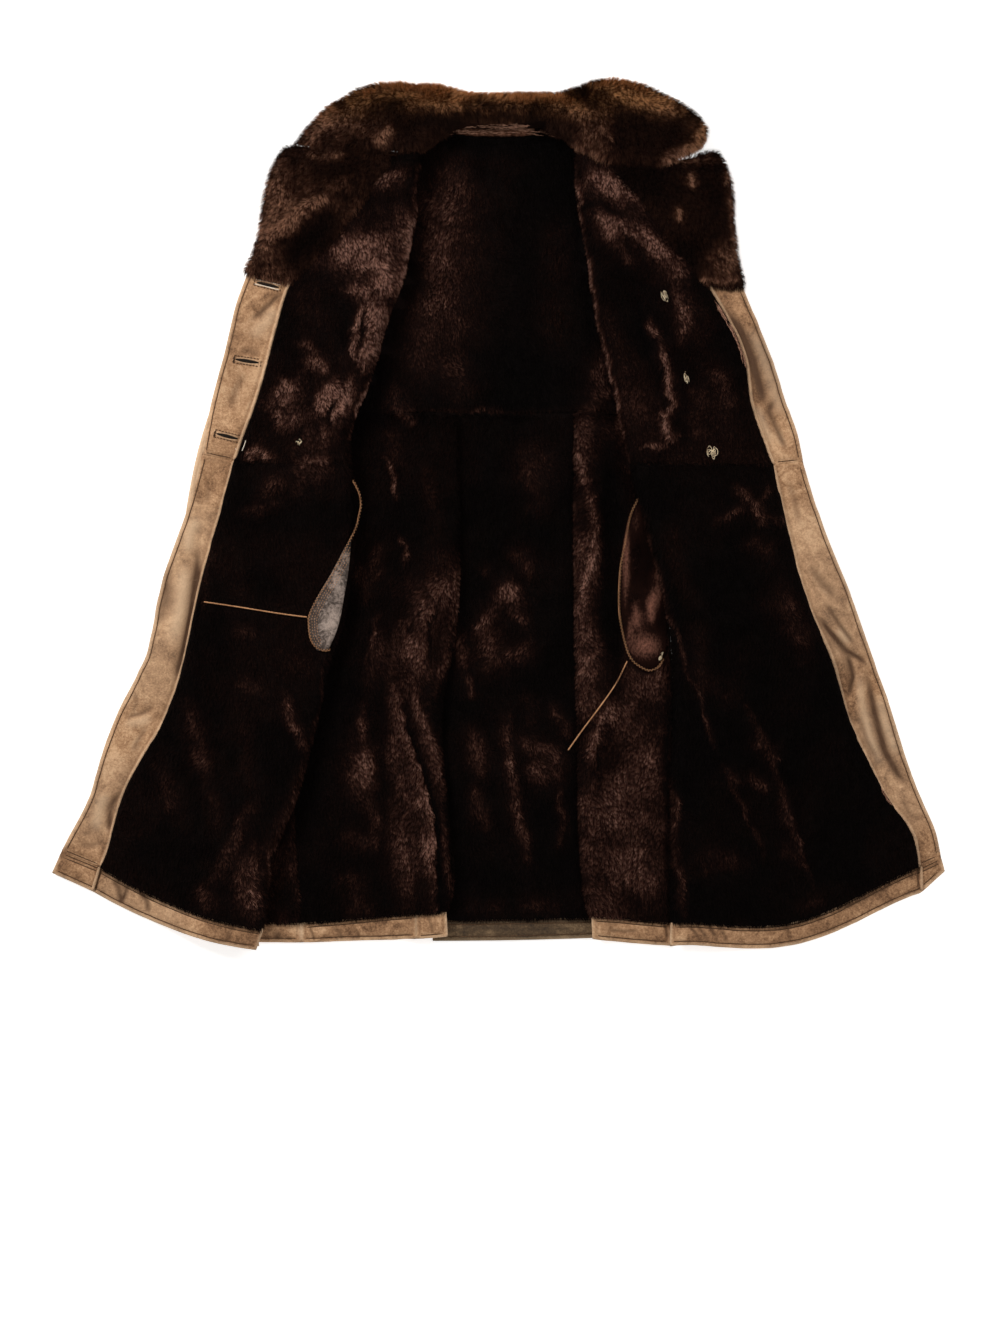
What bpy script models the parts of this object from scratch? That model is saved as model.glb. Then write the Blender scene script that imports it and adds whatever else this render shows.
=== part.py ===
"""Knee-length double-breasted shearling coat, laid open on its back with the fur side up.

The coat lies on the floor at Z = 0. +Y points to the collar and +X to the wearer's left side, so "left" and
"right" in the names are the sides seen from above. Every panel is a wall with a hide side and a fur side. The
tables give places on the laid-out coat in millimetres from the middle of its outline, a row for each section.
"""

import math
from collections import namedtuple

import bmesh
import bpy
import numpy as np
from mathutils import Vector

MM = 0.001

# Thicknesses, in mm.
SHEARLING = 9.5  # hide and clipped pile
LAPEL_PILE = 12.0
COLLAR_PILE = 13.0
FACING = 6.5  # leather facing over the trimmed front edge
HEM_STRIP = 6.0
POCKET_CLOTH = 2.2
NECK_BINDING = 2.5
SLEEVE_WALL = 9.0
SLEEVE_HOLLOW = 1.5

# Gaps, in mm.
SEAM_GAP = 0.4
REST_GAP = 0.4
LOOSE_GAP = 0.9  # under the pocket bags and cords, which lie loose on the uneven fur

# How the upper layers come down to the floor beside what lies under them, in mm.
LEVEL_REACH = 12.0
FALL_REACH = 95.0
LAP_HEIGHT = 10.3
LAP_LEFT = (-116.0, -94.0)
LAP_RIGHT = (128.0, 146.0)

# Share of the full thickness at a free edge and at a seam.
FREE_RIM = 0.6
SEAM_RIM = 0.86
TUCKED_RIM = 0.75

STEPS_PER_ROW = 2  # sections that are built for each row of a table
UNDER_RUN = (0.0, 0.35, 0.7, 1.0)
BEND_ANGLES = (-65, -33, 0, 33, 65)
TOP_RUN = (0.0, 0.07, 0.17, 0.28, 0.4, 0.52, 0.64, 0.76, 0.87, 0.96, 1.0)
FACING_ACROSS = (0.0, 0.1, 0.5, 0.9, 1.0)
LAPEL_ACROSS = (0.0, 0.06, 0.22, 0.4, 0.6, 0.8, 0.94, 1.0)
COLLAR_ACROSS = (0.0, 0.07, 0.22, 0.4, 0.58, 0.76, 0.92, 1.0)
STRIP_ACROSS = (0.0, 0.5, 1.0)

BUTTON_RADIUS = 14.0
BUTTON_THICKNESS = 5.0
CORD_DIAMETER = 2.4

Front = namedtuple("Front", "seam_x seam_y fold_x fold_y side_x side_y sag base rise")
Pair = namedtuple("Pair", "left_x left_y right_x right_y")
Edge = namedtuple("Edge", "x y sag")
Sleeve = namedtuple("Sleeve", "outer_x outer_y inner_x inner_y")
Collar = namedtuple("Collar", "top_x top_y neck_x neck_y neck_z arch rim_z")
Ridge = namedtuple("Ridge", "x0 y0 x1 y1 x2 y2 width height")

# A front: where it meets its facing or lapel (seam), its rounded fold, and the hidden edge of the part
# that is turned under (side). base is the height of the turned-under part, rise that of the hide above
# the fold.
FRONT_LEFT_UPPER = [
    # seam_x, seam_y, fold_x, fold_y, side_x, side_y, sag, base, rise
    Front(-133, 449, -98, 452, -238, 408, 0, 10, 26),
    Front(-156, 410, -101, 408, -238, 385, 0, 10, 26),
    Front(-183, 375, -106, 365, -238, 348, 0, 10, 26),
    Front(-218, 328, -114, 325, -238, 312, 0, 10, 26),
    Front(-259, 290, -122, 288, -238, 280, 0, 10, 26),
    Front(-272, 252, -138, 250, -238, 245, 0, 10, 26),
    Front(-286, 198, -153, 196, -238, 202, 0, 10, 26),
    Front(-301, 144, -172, 141, -238, 142, 0, 10, 26),
    Front(-316, 104, -187, 104, -239, 102, 0, 10, 26),
    Front(-329, 66, -186, 66, -242, 65, 0, 10, 26),
]
FRONT_LEFT_SKIRT = [
    # seam_x, seam_y, fold_x, fold_y, side_x, side_y, sag, base, rise
    Front(-329, 66, -186, 66, -242, 65, 0, 10, 26),
    Front(-349, -6, -178, -1, -246, -5, 0, 10, 23),
    Front(-369, -78, -184, -68, -249, -72, 0, 10, 21),
    Front(-381, -130, -194, -130, -253, -132, 0, 10, 21),
    Front(-393, -190, -212, -185, -258, -188, 0, 10, 21),
    Front(-419, -259, -227, -252, -268, -255, 0, 10, 21),
    Front(-447, -306, -241, -312, -286, -315, 0, 10, 21),
    Front(-473, -358, -261, -372, -311, -372, -1, 10, 21),
    Front(-487, -414, -286, -432, -331, -430, -5, 10, 21),
    Front(-498, -442, -294, -518, -343, -505, -12, 10, 21),
]
FRONT_RIGHT_UPPER = [
    # seam_x, seam_y, fold_x, fold_y, side_x, side_y, sag, base, rise
    Front(132, 440, 98, 457, 238, 408, 0, 10, 26),
    Front(154, 412, 98, 405, 238, 385, 0, 10, 26),
    Front(189, 378, 106, 361, 238, 348, 0, 10, 26),
    Front(222, 330, 113, 318, 238, 312, 0, 10, 26),
    Front(261, 285, 118, 280, 238, 280, 0, 10, 26),
    Front(282, 249, 124, 240, 238, 242, 0, 10, 26),
    Front(308, 196, 136, 195, 238, 199, 0, 10, 26),
    Front(314, 142, 148, 142, 238, 142, 0, 10, 26),
    Front(327, 102, 157, 102, 241, 102, 0, 10, 26),
    Front(342, 61, 164, 65, 242, 65, 0, 10, 26),
]
FRONT_RIGHT_SKIRT = [
    # seam_x, seam_y, fold_x, fold_y, side_x, side_y, sag, base, rise
    Front(342, 61, 164, 65, 242, 65, 0, 10, 26),
    Front(356, -2, 181, -1, 241, -1, 0, 13, 25.5),
    Front(374, -74, 202, -75, 239, -75, 0, 13, 24.5),
    Front(392, -129, 213, -130, 243, -130, 0, 13, 24),
    Front(418, -185, 218, -188, 248, -188, 0, 3, 15),
    Front(437, -255, 219, -252, 249, -252, 0, 0, 11),
    Front(461, -304, 218, -308, 248, -308, 0, 0, 11),
    Front(488, -359, 217, -365, 247, -365, -6, 0, 11),
    Front(521, -402, 216, -432, 246, -432, -16, 0, 11),
    Front(526, -442, 216, -511, 246, -514, -34, 0, 11),
]
# How square the drop of the hem is between the fold and the facing.
HEM_FULLNESS = {"left": 1.0, "right": 1.8}

LAPEL_LEFT_EDGE = [
    # x, y, sag
    Edge(-265, 455, 3),
    Edge(-283, 422, 0),
    Edge(-290, 378, 0),
    Edge(-295, 339, 0),
    Edge(-313, 301, 0),
]
LAPEL_RIGHT_EDGE = [
    # x, y, sag
    Edge(272, 451, -9),
    Edge(287, 420, 0),
    Edge(290, 378, 0),
    Edge(293, 328, 0),
    Edge(304, 283, 0),
]
FACING_LEFT_UPPER_EDGE = [
    # x, y, sag
    Edge(-312, 300, 0),
    Edge(-328, 256, 0),
    Edge(-341, 200, 0),
    Edge(-357, 141, 0),
    Edge(-364, 105, 0),
    Edge(-369, 74, 0),
]
FACING_RIGHT_UPPER_EDGE = [
    # x, y, sag
    Edge(304, 282.5, 0),
    Edge(321, 241, 0),
    Edge(341, 192, 0),
    Edge(357, 140, 0),
    Edge(372, 101, 0),
    Edge(379, 65, 0),
]
FACING_LEFT_LOWER_EDGE = [
    # x, y, sag
    Edge(-369, 74, 0),
    Edge(-389, 1, 0),
    Edge(-418, -78, 0),
    Edge(-428, -124, 0),
    Edge(-439, -175, 0),
    Edge(-471, -236, 0),
    Edge(-494, -292, 0),
    Edge(-512, -355, 0),
    Edge(-538, -404, 0),
    Edge(-547, -422, 0),
]
FACING_RIGHT_LOWER_EDGE = [
    # x, y, sag
    Edge(379, 65, 0),
    Edge(399, -1, 0),
    Edge(429, -74, 0),
    Edge(451, -130, 0),
    Edge(472, -191, 0),
    Edge(493, -250, 0),
    Edge(509, -302, 0),
    Edge(528, -355, 0),
    Edge(548, -399, 0),
    Edge(554, -429, 0),
]

BACK_UPPER = [
    # left_x, left_y, right_x, right_y
    Pair(-72, 479, 72, 479),
    Pair(-117, 456, 117, 456),
    Pair(-178, 434, 178, 434),
    Pair(-238, 411, 238, 411),
    Pair(-238, 340, 238, 340),
    Pair(-238, 269, 238, 269),
    Pair(-238, 198, 238, 198),
    Pair(-238, 127, 238, 127),
]
BACK_SKIRT_LEFT = [
    # left_x, left_y, right_x, right_y
    Pair(-238, 126, -54, 126),
    Pair(-242, 42, -52, 42),
    Pair(-246, -32, -51, -32),
    Pair(-248, -108, -52, -108),
    Pair(-251, -182, -63, -182),
    Pair(-253, -265, -76, -265),
    Pair(-256, -332, -69, -332),
    Pair(-257, -395, -64, -395),
    Pair(-252, -458, -58, -458),
    Pair(-247, -511, -66, -496),
]
BACK_SKIRT_CENTRE = [
    # left_x, left_y, right_x, right_y
    Pair(-82, 126, 118, 126),
    Pair(-82, -32, 118, -32),
    Pair(-82, -190, 118, -190),
    Pair(-82, -340, 119, -340),
    Pair(-82, -508, 128, -504),
]
BACK_SKIRT_RIGHT = [
    # left_x, left_y, right_x, right_y
    Pair(98, 126, 238, 126),
    Pair(98, 42, 239, 42),
    Pair(97, -32, 238, -32),
    Pair(98, -95, 222, -95),
    Pair(98, -135, 212.6, -135),
    Pair(99, -195, 217.4, -195),
    Pair(101, -265, 218, -265),
    Pair(102, -332, 216.9, -332),
    Pair(104, -408, 215.6, -408),
    Pair(109, -476, 215.3, -476),
    Pair(117, -502, 215.3, -511),
]
# The left front beside its side seam, which comes out from under the fold towards the hem.
SIDE_PIECE_ROW = 5  # the row of BACK_SKIRT_LEFT where it starts
SIDE_PIECE_LEFT_EDGE = [
    # x, y, sag
    Edge(-272, -265, 0),
    Edge(-296, -332, 0),
    Edge(-321, -395, 0),
    Edge(-336, -458, 0),
    Edge(-343, -510, 0),
]

SLEEVE_LEFT = [
    # outer_x, outer_y, inner_x, inner_y
    Sleeve(-238.6, 406, -238.6, 210),
    Sleeve(-268, 402, -244, 200),
    Sleeve(-283, 358, -246, 185),
    Sleeve(-311, 282, -247, 152),
    Sleeve(-342, 180, -248, 102),
    Sleeve(-373, 100, -249, 40),
    Sleeve(-389, 22, -253, -20),
    Sleeve(-397, -39, -257, -76),
    Sleeve(-393, -108, -261, -122),
    Sleeve(-386, -168, -264, -170),
]
SLEEVE_RIGHT = [
    # outer_x, outer_y, inner_x, inner_y
    Sleeve(238.6, 406, 238.6, 210),
    Sleeve(262, 402, 243, 200),
    Sleeve(272, 358, 246, 185),
    Sleeve(293, 282, 247, 152),
    Sleeve(329, 180, 248, 102),
    Sleeve(358, 100, 249, 40),
    Sleeve(373, 22, 252, -20),
    Sleeve(384, -39, 254, -76),
    Sleeve(387, -108, 258, -122),
    Sleeve(379, -168, 262, -170),
]
# Height of the fronts over the sleeves: higher where the buttons lie between them.
OVER_SLEEVE = ((-200.0, 21.0), (0.0, 22.0), (40.0, 26.0), (480.0, 26.0))

# The collar, from its left point to its right one. The hide lies at neck_z by the neck and at rim_z at the
# outer rim, and stands up between them by arch.
COLLAR = [
    # top_x, top_y, neck_x, neck_y, neck_z, arch, rim_z
    Collar(-250, 464, -214, 458, 26, 1, 12),
    Collar(-236, 484, -194, 457, 26, 4, 6),
    Collar(-211, 508, -171, 456, 26, 6, 3),
    Collar(-186, 524, -144, 455, 26, 8, 2),
    Collar(-156, 538, -117, 455, 26, 10, 0),
    Collar(-113, 539, -96, 458, 22, 13, 0),
    Collar(-74, 536, -81, 469, 14, 18, 0),
    Collar(-41, 530, -58, 479, 10.3, 22, 0),
    Collar(-1, 528, -1, 475, 10.3, 23, 0),
    Collar(39, 529, 58, 479, 10.3, 22, 0),
    Collar(72, 526, 84, 474, 14, 18, 0),
    Collar(96, 532, 98, 462, 22, 13, 0),
    Collar(131, 544, 114, 452, 26, 10, 0),
    Collar(169, 541, 136, 442, 26, 8, 2),
    Collar(207, 524, 160, 437, 26, 6, 3),
    Collar(244, 502, 185, 436, 26, 4, 6),
    Collar(257, 480, 208, 438, 26, 2, 10),
    Collar(250, 463, 220, 443, 26, 1, 14),
]

POCKET_BAG_LEFT = [
    # left_x, left_y, right_x, right_y
    Pair(-187, -8, -182, -8),
    Pair(-194, -42, -185, -42),
    Pair(-208, -74, -188, -74),
    Pair(-224, -102, -193, -102),
    Pair(-236, -126, -197, -126),
    Pair(-236, -148, -203, -148),
    Pair(-226, -170, -213, -170),
]
POCKET_BAG_RIGHT = [
    # left_x, left_y, right_x, right_y
    Pair(174, 20, 183, 20),
    Pair(164, -1, 192, -1),
    Pair(157, -35, 202, -35),
    Pair(152, -76, 213, -76),
    Pair(151, -121, 211, -121),
    Pair(156, -160, 211, -160),
    Pair(169, -189, 206, -182),
    Pair(184, -198, 196, -196),
]

# The largest folds, as soft ridges through three places, with the half-width and the height of each.
BACK_LEFT_RIDGES = [
    # x0, y0, x1, y1, x2, y2, width, height
    Ridge(-66, -42, -98, -220, -81, -358, 15, 9),
    Ridge(-81, -358, -73, -426, -67, -489, 13, 7),
    Ridge(-142, 70, -128, 11, -113, -91, 12, 6),
    Ridge(-159, -132, -148, -200, -143, -249, 12, 6),
]
BACK_CENTRE_RIDGES = [
    # x0, y0, x1, y1, x2, y2, width, height
    Ridge(7, -260, 23, -351, 36, -435, 11, 5),
    Ridge(68, -349, 72, -401, 73, -445, 10, 5),
    Ridge(-20, 105, -12, 18, 4, -58, 12, 4),
    Ridge(52, -158, 42, -232, 52, -308, 12, 4),
]
BACK_RIGHT_RIDGES = [
    # x0, y0, x1, y1, x2, y2, width, height
    Ridge(136, -21, 113, -52, 106, -99, 11, 6),
]
FRONT_RIDGES = [
    # x0, y0, x1, y1, x2, y2, width, height
    Ridge(241, -192, 274, -289, 327, -428, 18, 9),
    Ridge(253, -82, 269, -116, 284, -151, 14, 6),
    Ridge(307, -234, 356, -345, 403, -482, 16, 7),
    Ridge(182, 232, 204, 186, 212, 142, 12, 6),
    Ridge(212, 142, 209, 98, 174, 84, 12, 6),
    Ridge(258, 36, 296, 18, 334, -2, 10, 5),
    Ridge(-317, 30, -261, 55, -204, 80, 14, 5),
    Ridge(-211, 268, -183, 211, -211, 142, 16, 5),
    Ridge(-261, -232, -283, -332, -303, -420, 16, 4),
    Ridge(-373, -182, -388, -270, -423, -358, 18, 4),
]
LAPEL_RIDGES = [
    # x0, y0, x1, y1, x2, y2, width, height
    Ridge(-301, 328, -258, 362, -216, 398, 12, 5),
    Ridge(239, 405, 252, 361, 267, 315, 14, 4),
]
FACING_RIDGES = [
    # x0, y0, x1, y1, x2, y2, width, height
    Ridge(407, -139, 439, -208, 462, -289, 8, 4),
    Ridge(429, -108, 454, -176, 484, -251, 7, 3),
    Ridge(304, 242, 317, 205, 332, 161, 8, 4),
    Ridge(-348, 149, -356, 105, -364, 55, 8, 3),
]

Knot = namedtuple("Knot", "name x y radius")
KNOTS = [
    Knot("stay_knot_left", -249, 88, 5.0),
    Knot("stay_knot_right_top", 207, 271, 6.0),
    Knot("stay_knot_right_middle", 234, 169, 4.5),
    Knot("stay_knot_right_low", 266, 76, 7.0),
]
POCKET_KNOT = Knot("pocket_knot_right", 204, -178, 4.0)

CORD_LEFT = ((-239, -129), (-270, -125), (-320, -117), (-367, -110))
CORD_RIGHT = ((161, -184), (148, -210), (128, -239), (107, -267), (87, -295))

Finish = namedtuple("Finish", "colour roughness metallic")
FINISHES = {
    "fur_brown": Finish((0.075, 0.036, 0.026), 0.9, 0.0),
    "fur_collar": Finish((0.16, 0.085, 0.045), 0.9, 0.0),
    "leather_tan": Finish((0.42, 0.27, 0.155), 0.6, 0.0),
    "leather_dark": Finish((0.27, 0.18, 0.11), 0.62, 0.0),
    "pocket_leather": Finish((0.2, 0.165, 0.145), 0.5, 0.0),
    "pocket_suede": Finish((0.11, 0.05, 0.035), 0.85, 0.0),
    "thread": Finish((0.55, 0.42, 0.3), 0.8, 0.0),
    "horn": Finish((0.12, 0.07, 0.04), 0.35, 0.0),
}


# Curves and places


def smooth(stations, at):
    """A smooth curve through the stations, read at row positions; it never swings past a station."""
    values = np.asarray(stations, float)
    steps = np.diff(values, axis=0)
    slopes = np.empty_like(values)
    slopes[0] = steps[0]
    slopes[-1] = steps[-1]
    before = steps[:-1]
    after = steps[1:]
    same_way = before * after > 0
    total = np.where(same_way, before + after, 1.0)
    slopes[1:-1] = np.where(same_way, 2 * before * after / total, 0.0)
    low = np.clip(np.floor(at).astype(int), 0, len(values) - 2)
    t = (at - low)[:, None]
    start = values[low] * (1 + 2 * t) * (1 - t) ** 2 + slopes[low] * t * (1 - t) ** 2
    end = values[low + 1] * t**2 * (3 - 2 * t) - slopes[low + 1] * t**2 * (1 - t)
    return start + end


def row_positions(first, last, steps=STEPS_PER_ROW):
    return np.linspace(first, last, (last - first) * steps + 1)


def soft_step(value):
    t = np.clip(value, 0.0, 1.0)
    return t * t * (3 - 2 * t)


def outside_distance(x, y, outline):
    """Distance from places to a closed outline, 0 inside it."""
    outline = np.asarray(outline, float)
    places = np.stack([np.ravel(x), np.ravel(y)], axis=1)
    nearest = np.full(len(places), np.inf)
    inside = np.zeros(len(places), bool)
    for start, end in zip(outline, np.roll(outline, -1, axis=0)):
        run = end - start
        share = np.clip((places - start) @ run / max(run @ run, 1e-9), 0, 1)
        gap = np.linalg.norm(places - start - share[:, None] * run, axis=1)
        nearest = np.minimum(nearest, gap)
        crosses = (start[1] > places[:, 1]) != (end[1] > places[:, 1])
        rise = np.where(abs(run[1]) < 1e-9, 1e-9, run[1])
        crossing = start[0] + run[0] * (places[:, 1] - start[1]) / rise
        inside ^= crosses & (places[:, 0] < crossing)
    return np.where(inside, 0.0, nearest).reshape(np.shape(x))


def ridge_height(x, y, ridges):
    """The tallest of the soft ridges at each place, with rounded, tapered ends."""
    height = np.zeros(np.shape(x))
    for ridge in ridges:
        stations = [(ridge.x0, ridge.y0), (ridge.x1, ridge.y1), (ridge.x2, ridge.y2)]
        line = smooth(stations, row_positions(0, 2, 8))
        ends = np.sin(np.pi * np.linspace(0.08, 0.92, len(line))) ** 0.5
        for (px, py), size in zip(line, ends):
            away = np.hypot(x - px, y - py) / ridge.width
            bump = ridge.height * size * np.exp(-(away**2))
            height = np.maximum(height, bump)
    return height


def fall(distance):
    """1 over what lies below and a little past it, then down to 0 at the floor."""
    return 1 - soft_step((distance - LEVEL_REACH) / (FALL_REACH - LEVEL_REACH))


class Side:
    """The layers of one side of the coat: what lies under its front, and how high the front lies."""

    def __init__(self, upper, skirt, sleeve, fullness):
        self.upper = upper
        self.skirt = skirt
        self.fullness = fullness
        rows = upper + skirt[1:]
        folds = [(row.fold_x, row.fold_y) for row in rows]
        sides = [(row.side_x, row.side_y) for row in rows]
        self.turned_under = folds + sides[::-1]
        outer = [(row.outer_x, row.outer_y) for row in sleeve]
        inner = [(row.inner_x, row.inner_y) for row in sleeve]
        self.sleeve_outline = outer + inner[::-1]
        self.rows_down = rows[::-1]

    def hide_height(self, x, y, rise):
        """Height of the front's hide side, which rests on the turned-under part, the sleeve and the floor."""
        over_fold = rise * fall(outside_distance(x, y, self.turned_under))
        places, heights = zip(*OVER_SLEEVE)
        over_sleeve = np.interp(y, places, heights) * fall(outside_distance(x, y, self.sleeve_outline))
        return np.maximum(over_fold, over_sleeve)

    def at_height(self, y, name):
        """A value of the fronts' tables, read by the Y of the fold."""
        down = [row.fold_y for row in self.rows_down]
        return np.interp(y, down, [getattr(row, name) for row in self.rows_down])

    def fur_height(self, x, y):
        """Height of the front's fur side at a place, rounded off at the fold."""
        rise = self.at_height(y, "rise")
        base = self.at_height(y, "base")
        radius = (rise + SHEARLING - base) / 2
        inward = np.abs(x - self.at_height(y, "fold_x"))
        level = self.hide_height(x, y, rise) + SHEARLING + ridge_height(x, y, FRONT_RIDGES)
        drop = radius - np.sqrt(np.maximum(radius**2 - np.maximum(radius - inward, 0) ** 2, 0))
        return level - drop


def back_hide_height(x):
    """The back skirt lies on the floor, and its outer pieces step up where they lap over the centre piece."""
    left = soft_step((x - LAP_LEFT[0]) / (LAP_LEFT[1] - LAP_LEFT[0]))
    right = 1 - soft_step((x - LAP_RIGHT[0]) / (LAP_RIGHT[1] - LAP_RIGHT[0]))
    return LAP_HEIGHT * np.where(x < 0, left, right)


LEFT = Side(FRONT_LEFT_UPPER, FRONT_LEFT_SKIRT, SLEEVE_LEFT, HEM_FULLNESS["left"])
RIGHT = Side(FRONT_RIGHT_UPPER, FRONT_RIGHT_SKIRT, SLEEVE_RIGHT, HEM_FULLNESS["right"])


# Building


def clear_scene():
    for item in list(bpy.data.objects):
        bpy.data.objects.remove(item, do_unlink=True)


def material(name):
    found = bpy.data.materials.get(name)
    if found:
        return found
    finish = FINISHES[name]
    made = bpy.data.materials.new(name)
    made.use_nodes = True
    shader = made.node_tree.nodes["Principled BSDF"]
    shader.inputs["Base Color"].default_value = (*finish.colour, 1.0)
    shader.inputs["Roughness"].default_value = finish.roughness
    shader.inputs["Metallic"].default_value = finish.metallic
    return made


def solid(name, points, faces, finish):
    """One closed piece, from points in mm."""
    mesh = bpy.data.meshes.new(name)
    mesh.from_pydata([Vector(point) * MM for point in points], [], faces)
    builder = bmesh.new()
    builder.from_mesh(mesh)
    bmesh.ops.triangulate(builder, faces=builder.faces[:], quad_method="FIXED")
    bmesh.ops.recalc_face_normals(builder, faces=builder.faces[:])
    builder.to_mesh(mesh)
    builder.free()
    mesh.materials.append(material(finish))
    mesh.shade_smooth()
    mesh.set_sharp_from_angle(angle=math.radians(50))
    piece = bpy.data.objects.new(name, mesh)
    bpy.context.collection.objects.link(piece)
    return piece


def wall(name, hide, fur, finish):
    """A wall between two grids of points, of rows by columns by x, y, z, closed round its edges."""
    rows, columns = hide.shape[:2]
    points = [*hide.reshape(-1, 3), *fur.reshape(-1, 3)]
    lift = rows * columns

    def at(row, column):
        return row * columns + column

    faces = []
    for row in range(rows - 1):
        for column in range(columns - 1):
            a = at(row, column)
            b = at(row, column + 1)
            c = at(row + 1, column + 1)
            d = at(row + 1, column)
            faces.append((a, d, c, b))
            faces.append((a + lift, b + lift, c + lift, d + lift))
    rim = [at(0, column) for column in range(columns)]
    rim += [at(row, columns - 1) for row in range(1, rows)]
    rim += [at(rows - 1, column) for column in range(columns - 2, -1, -1)]
    rim += [at(row, 0) for row in range(rows - 2, 0, -1)]
    for a, b in zip(rim, rim[1:] + rim[:1]):
        faces.append((a, b, b + lift, a + lift))
    return solid(name, points, faces, finish)


def thickness(shape, full, first=SEAM_RIM, last=SEAM_RIM, first_column=SEAM_RIM, last_column=SEAM_RIM):
    """The wall's thickness, less at its first and last rows and columns."""
    share = np.ones(shape)
    share[0] = np.minimum(share[0], first)
    share[-1] = np.minimum(share[-1], last)
    share[:, 0] = np.minimum(share[:, 0], first_column)
    share[:, -1] = np.minimum(share[:, -1], last_column)
    return share * full


def stack(x, y, z):
    return np.stack([x, y, np.broadcast_to(z, np.shape(x))], axis=-1)


def across(start, end, shares):
    """Places between two rows of x, y pairs: rows by shares by x, y."""
    share = np.asarray(shares)[None, :, None]
    return start[:, None] * (1 - share) + end[:, None] * share


def front_grids(side, table):
    """Hide and fur grids of a front: the turned-under run, the bend at the fold, and the run on top."""
    values = smooth(table, row_positions(0, len(table) - 1))
    seam = values[:, 0:2]
    fold = values[:, 2:4]
    hidden = values[:, 4:6]
    sag, base, rise = values[:, 6], values[:, 7], values[:, 8]
    run = seam - fold
    length = np.linalg.norm(run, axis=1)
    outward = run / length[:, None]
    fur_radius = (rise + SHEARLING - base) / 2
    hide_radius = fur_radius - SHEARLING
    bend = fold + outward * fur_radius[:, None]
    last = seam - outward * SEAM_GAP

    under = across(hidden, bend, UNDER_RUN)
    under_base = np.repeat(base[:, None], len(UNDER_RUN), axis=1)
    top = across(bend, last, TOP_RUN)
    hide_z = side.hide_height(top[..., 0], top[..., 1], rise[:, None])
    hide_z[:, 0] = rise
    from_bend = np.linalg.norm(top - bend[:, None], axis=2)
    folds = ridge_height(top[..., 0], top[..., 1], FRONT_RIDGES) * soft_step(from_bend / 25.0)
    hide_z = hide_z + folds
    depth = thickness(hide_z.shape, SHEARLING, first_column=1.0)

    angles = np.radians(BEND_ANGLES)
    middle = (base + fur_radius)[:, None]
    hide_bend = bend[:, None] - outward[:, None] * (hide_radius[:, None] * np.cos(angles))[..., None]
    fur_bend = bend[:, None] - outward[:, None] * (fur_radius[:, None] * np.cos(angles))[..., None]
    hide_bend_z = middle + hide_radius[:, None] * np.sin(angles)
    fur_bend_z = middle + fur_radius[:, None] * np.sin(angles)

    hide_xy = np.concatenate([under, hide_bend, top], axis=1)
    fur_xy = np.concatenate([under, fur_bend, top], axis=1)
    hide_all = np.concatenate([under_base + SHEARLING, hide_bend_z, hide_z], axis=1)
    fur_all = np.concatenate([under_base, fur_bend_z, hide_z + depth], axis=1)
    for places in (hide_xy, fur_xy):
        away = np.linalg.norm(places - fold[:, None], axis=2) / length[:, None]
        share = np.clip(away, 0, 1)
        places[..., 1] += sag[:, None] * (4 * share * (1 - share)) ** side.fullness
    return stack(hide_xy[..., 0], hide_xy[..., 1], hide_all), stack(fur_xy[..., 0], fur_xy[..., 1], fur_all)


def part_rows(grids, first=0.0, last=0.0):
    """Moves the first row down and the last row up, so that pieces are parted at their seams."""
    for grid in grids:
        grid[0, :, 1] -= first
        grid[-1, :, 1] += last
    return grids


def build_front(name, side, table, first=0.0, last=0.0):
    hide, fur = part_rows(front_grids(side, table), first, last)
    wall(name, hide, fur, "fur_brown")
    return hide


def edge_places(side, table, edge_table, first_row, shares):
    """Places from a front's seam out to the edge of its lapel or facing, and the rise of each row."""
    rows = len(edge_table) - 1
    front = smooth(table, row_positions(first_row, first_row + rows))
    edge = smooth(edge_table, row_positions(0, rows))
    seam = front[:, 0:2]
    run = edge[:, 0:2] - seam
    outward = run / np.linalg.norm(run, axis=1)[:, None]
    places = across(seam + outward * SEAM_GAP, edge[:, 0:2], shares)
    share = np.asarray(shares)[None, :]
    places[..., 1] += edge[:, 2:3] * 4 * share * (1 - share)
    return places, front[:, 8:9]


def build_lapel(name, side, table, edge_table):
    places, rise = edge_places(side, table, edge_table, 0, LAPEL_ACROSS)
    x = places[..., 0]
    y = places[..., 1]
    hide_z = side.hide_height(x, y, rise) + ridge_height(x, y, LAPEL_RIDGES)
    depth = thickness(x.shape, LAPEL_PILE, TUCKED_RIM, FREE_RIM, TUCKED_RIM, FREE_RIM)
    hide, fur = part_rows([stack(x, y, hide_z), stack(x, y, hide_z + depth)], 0.0, SEAM_GAP)
    wall(name, hide, fur, "fur_collar")


def build_facing(name, side, table, edge_table, first_row, first=0.0, last=0.0):
    places, rise = edge_places(side, table, edge_table, first_row, FACING_ACROSS)
    x = places[..., 0]
    y = places[..., 1]
    hide_z = side.hide_height(x, y, rise) + ridge_height(x, y, FACING_RIDGES)
    depth = thickness(x.shape, FACING, last_column=FREE_RIM)
    hide, top = part_rows([stack(x, y, hide_z), stack(x, y, hide_z + depth)], first, last)
    wall(name, hide, top, "leather_tan")
    return hide


def back_grids(table, shares, lapped, ridges, steps, rims):
    values = smooth(table, row_positions(0, len(table) - 1, steps))
    places = across(values[:, 0:2], values[:, 2:4], shares)
    x = places[..., 0]
    y = places[..., 1]
    floor_z = back_hide_height(x) if lapped else np.zeros(x.shape)
    hide_z = floor_z + ridge_height(x, y, ridges)
    depth = thickness(x.shape, SHEARLING, **rims)
    return stack(x, y, hide_z), stack(x, y, hide_z + depth)


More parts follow.
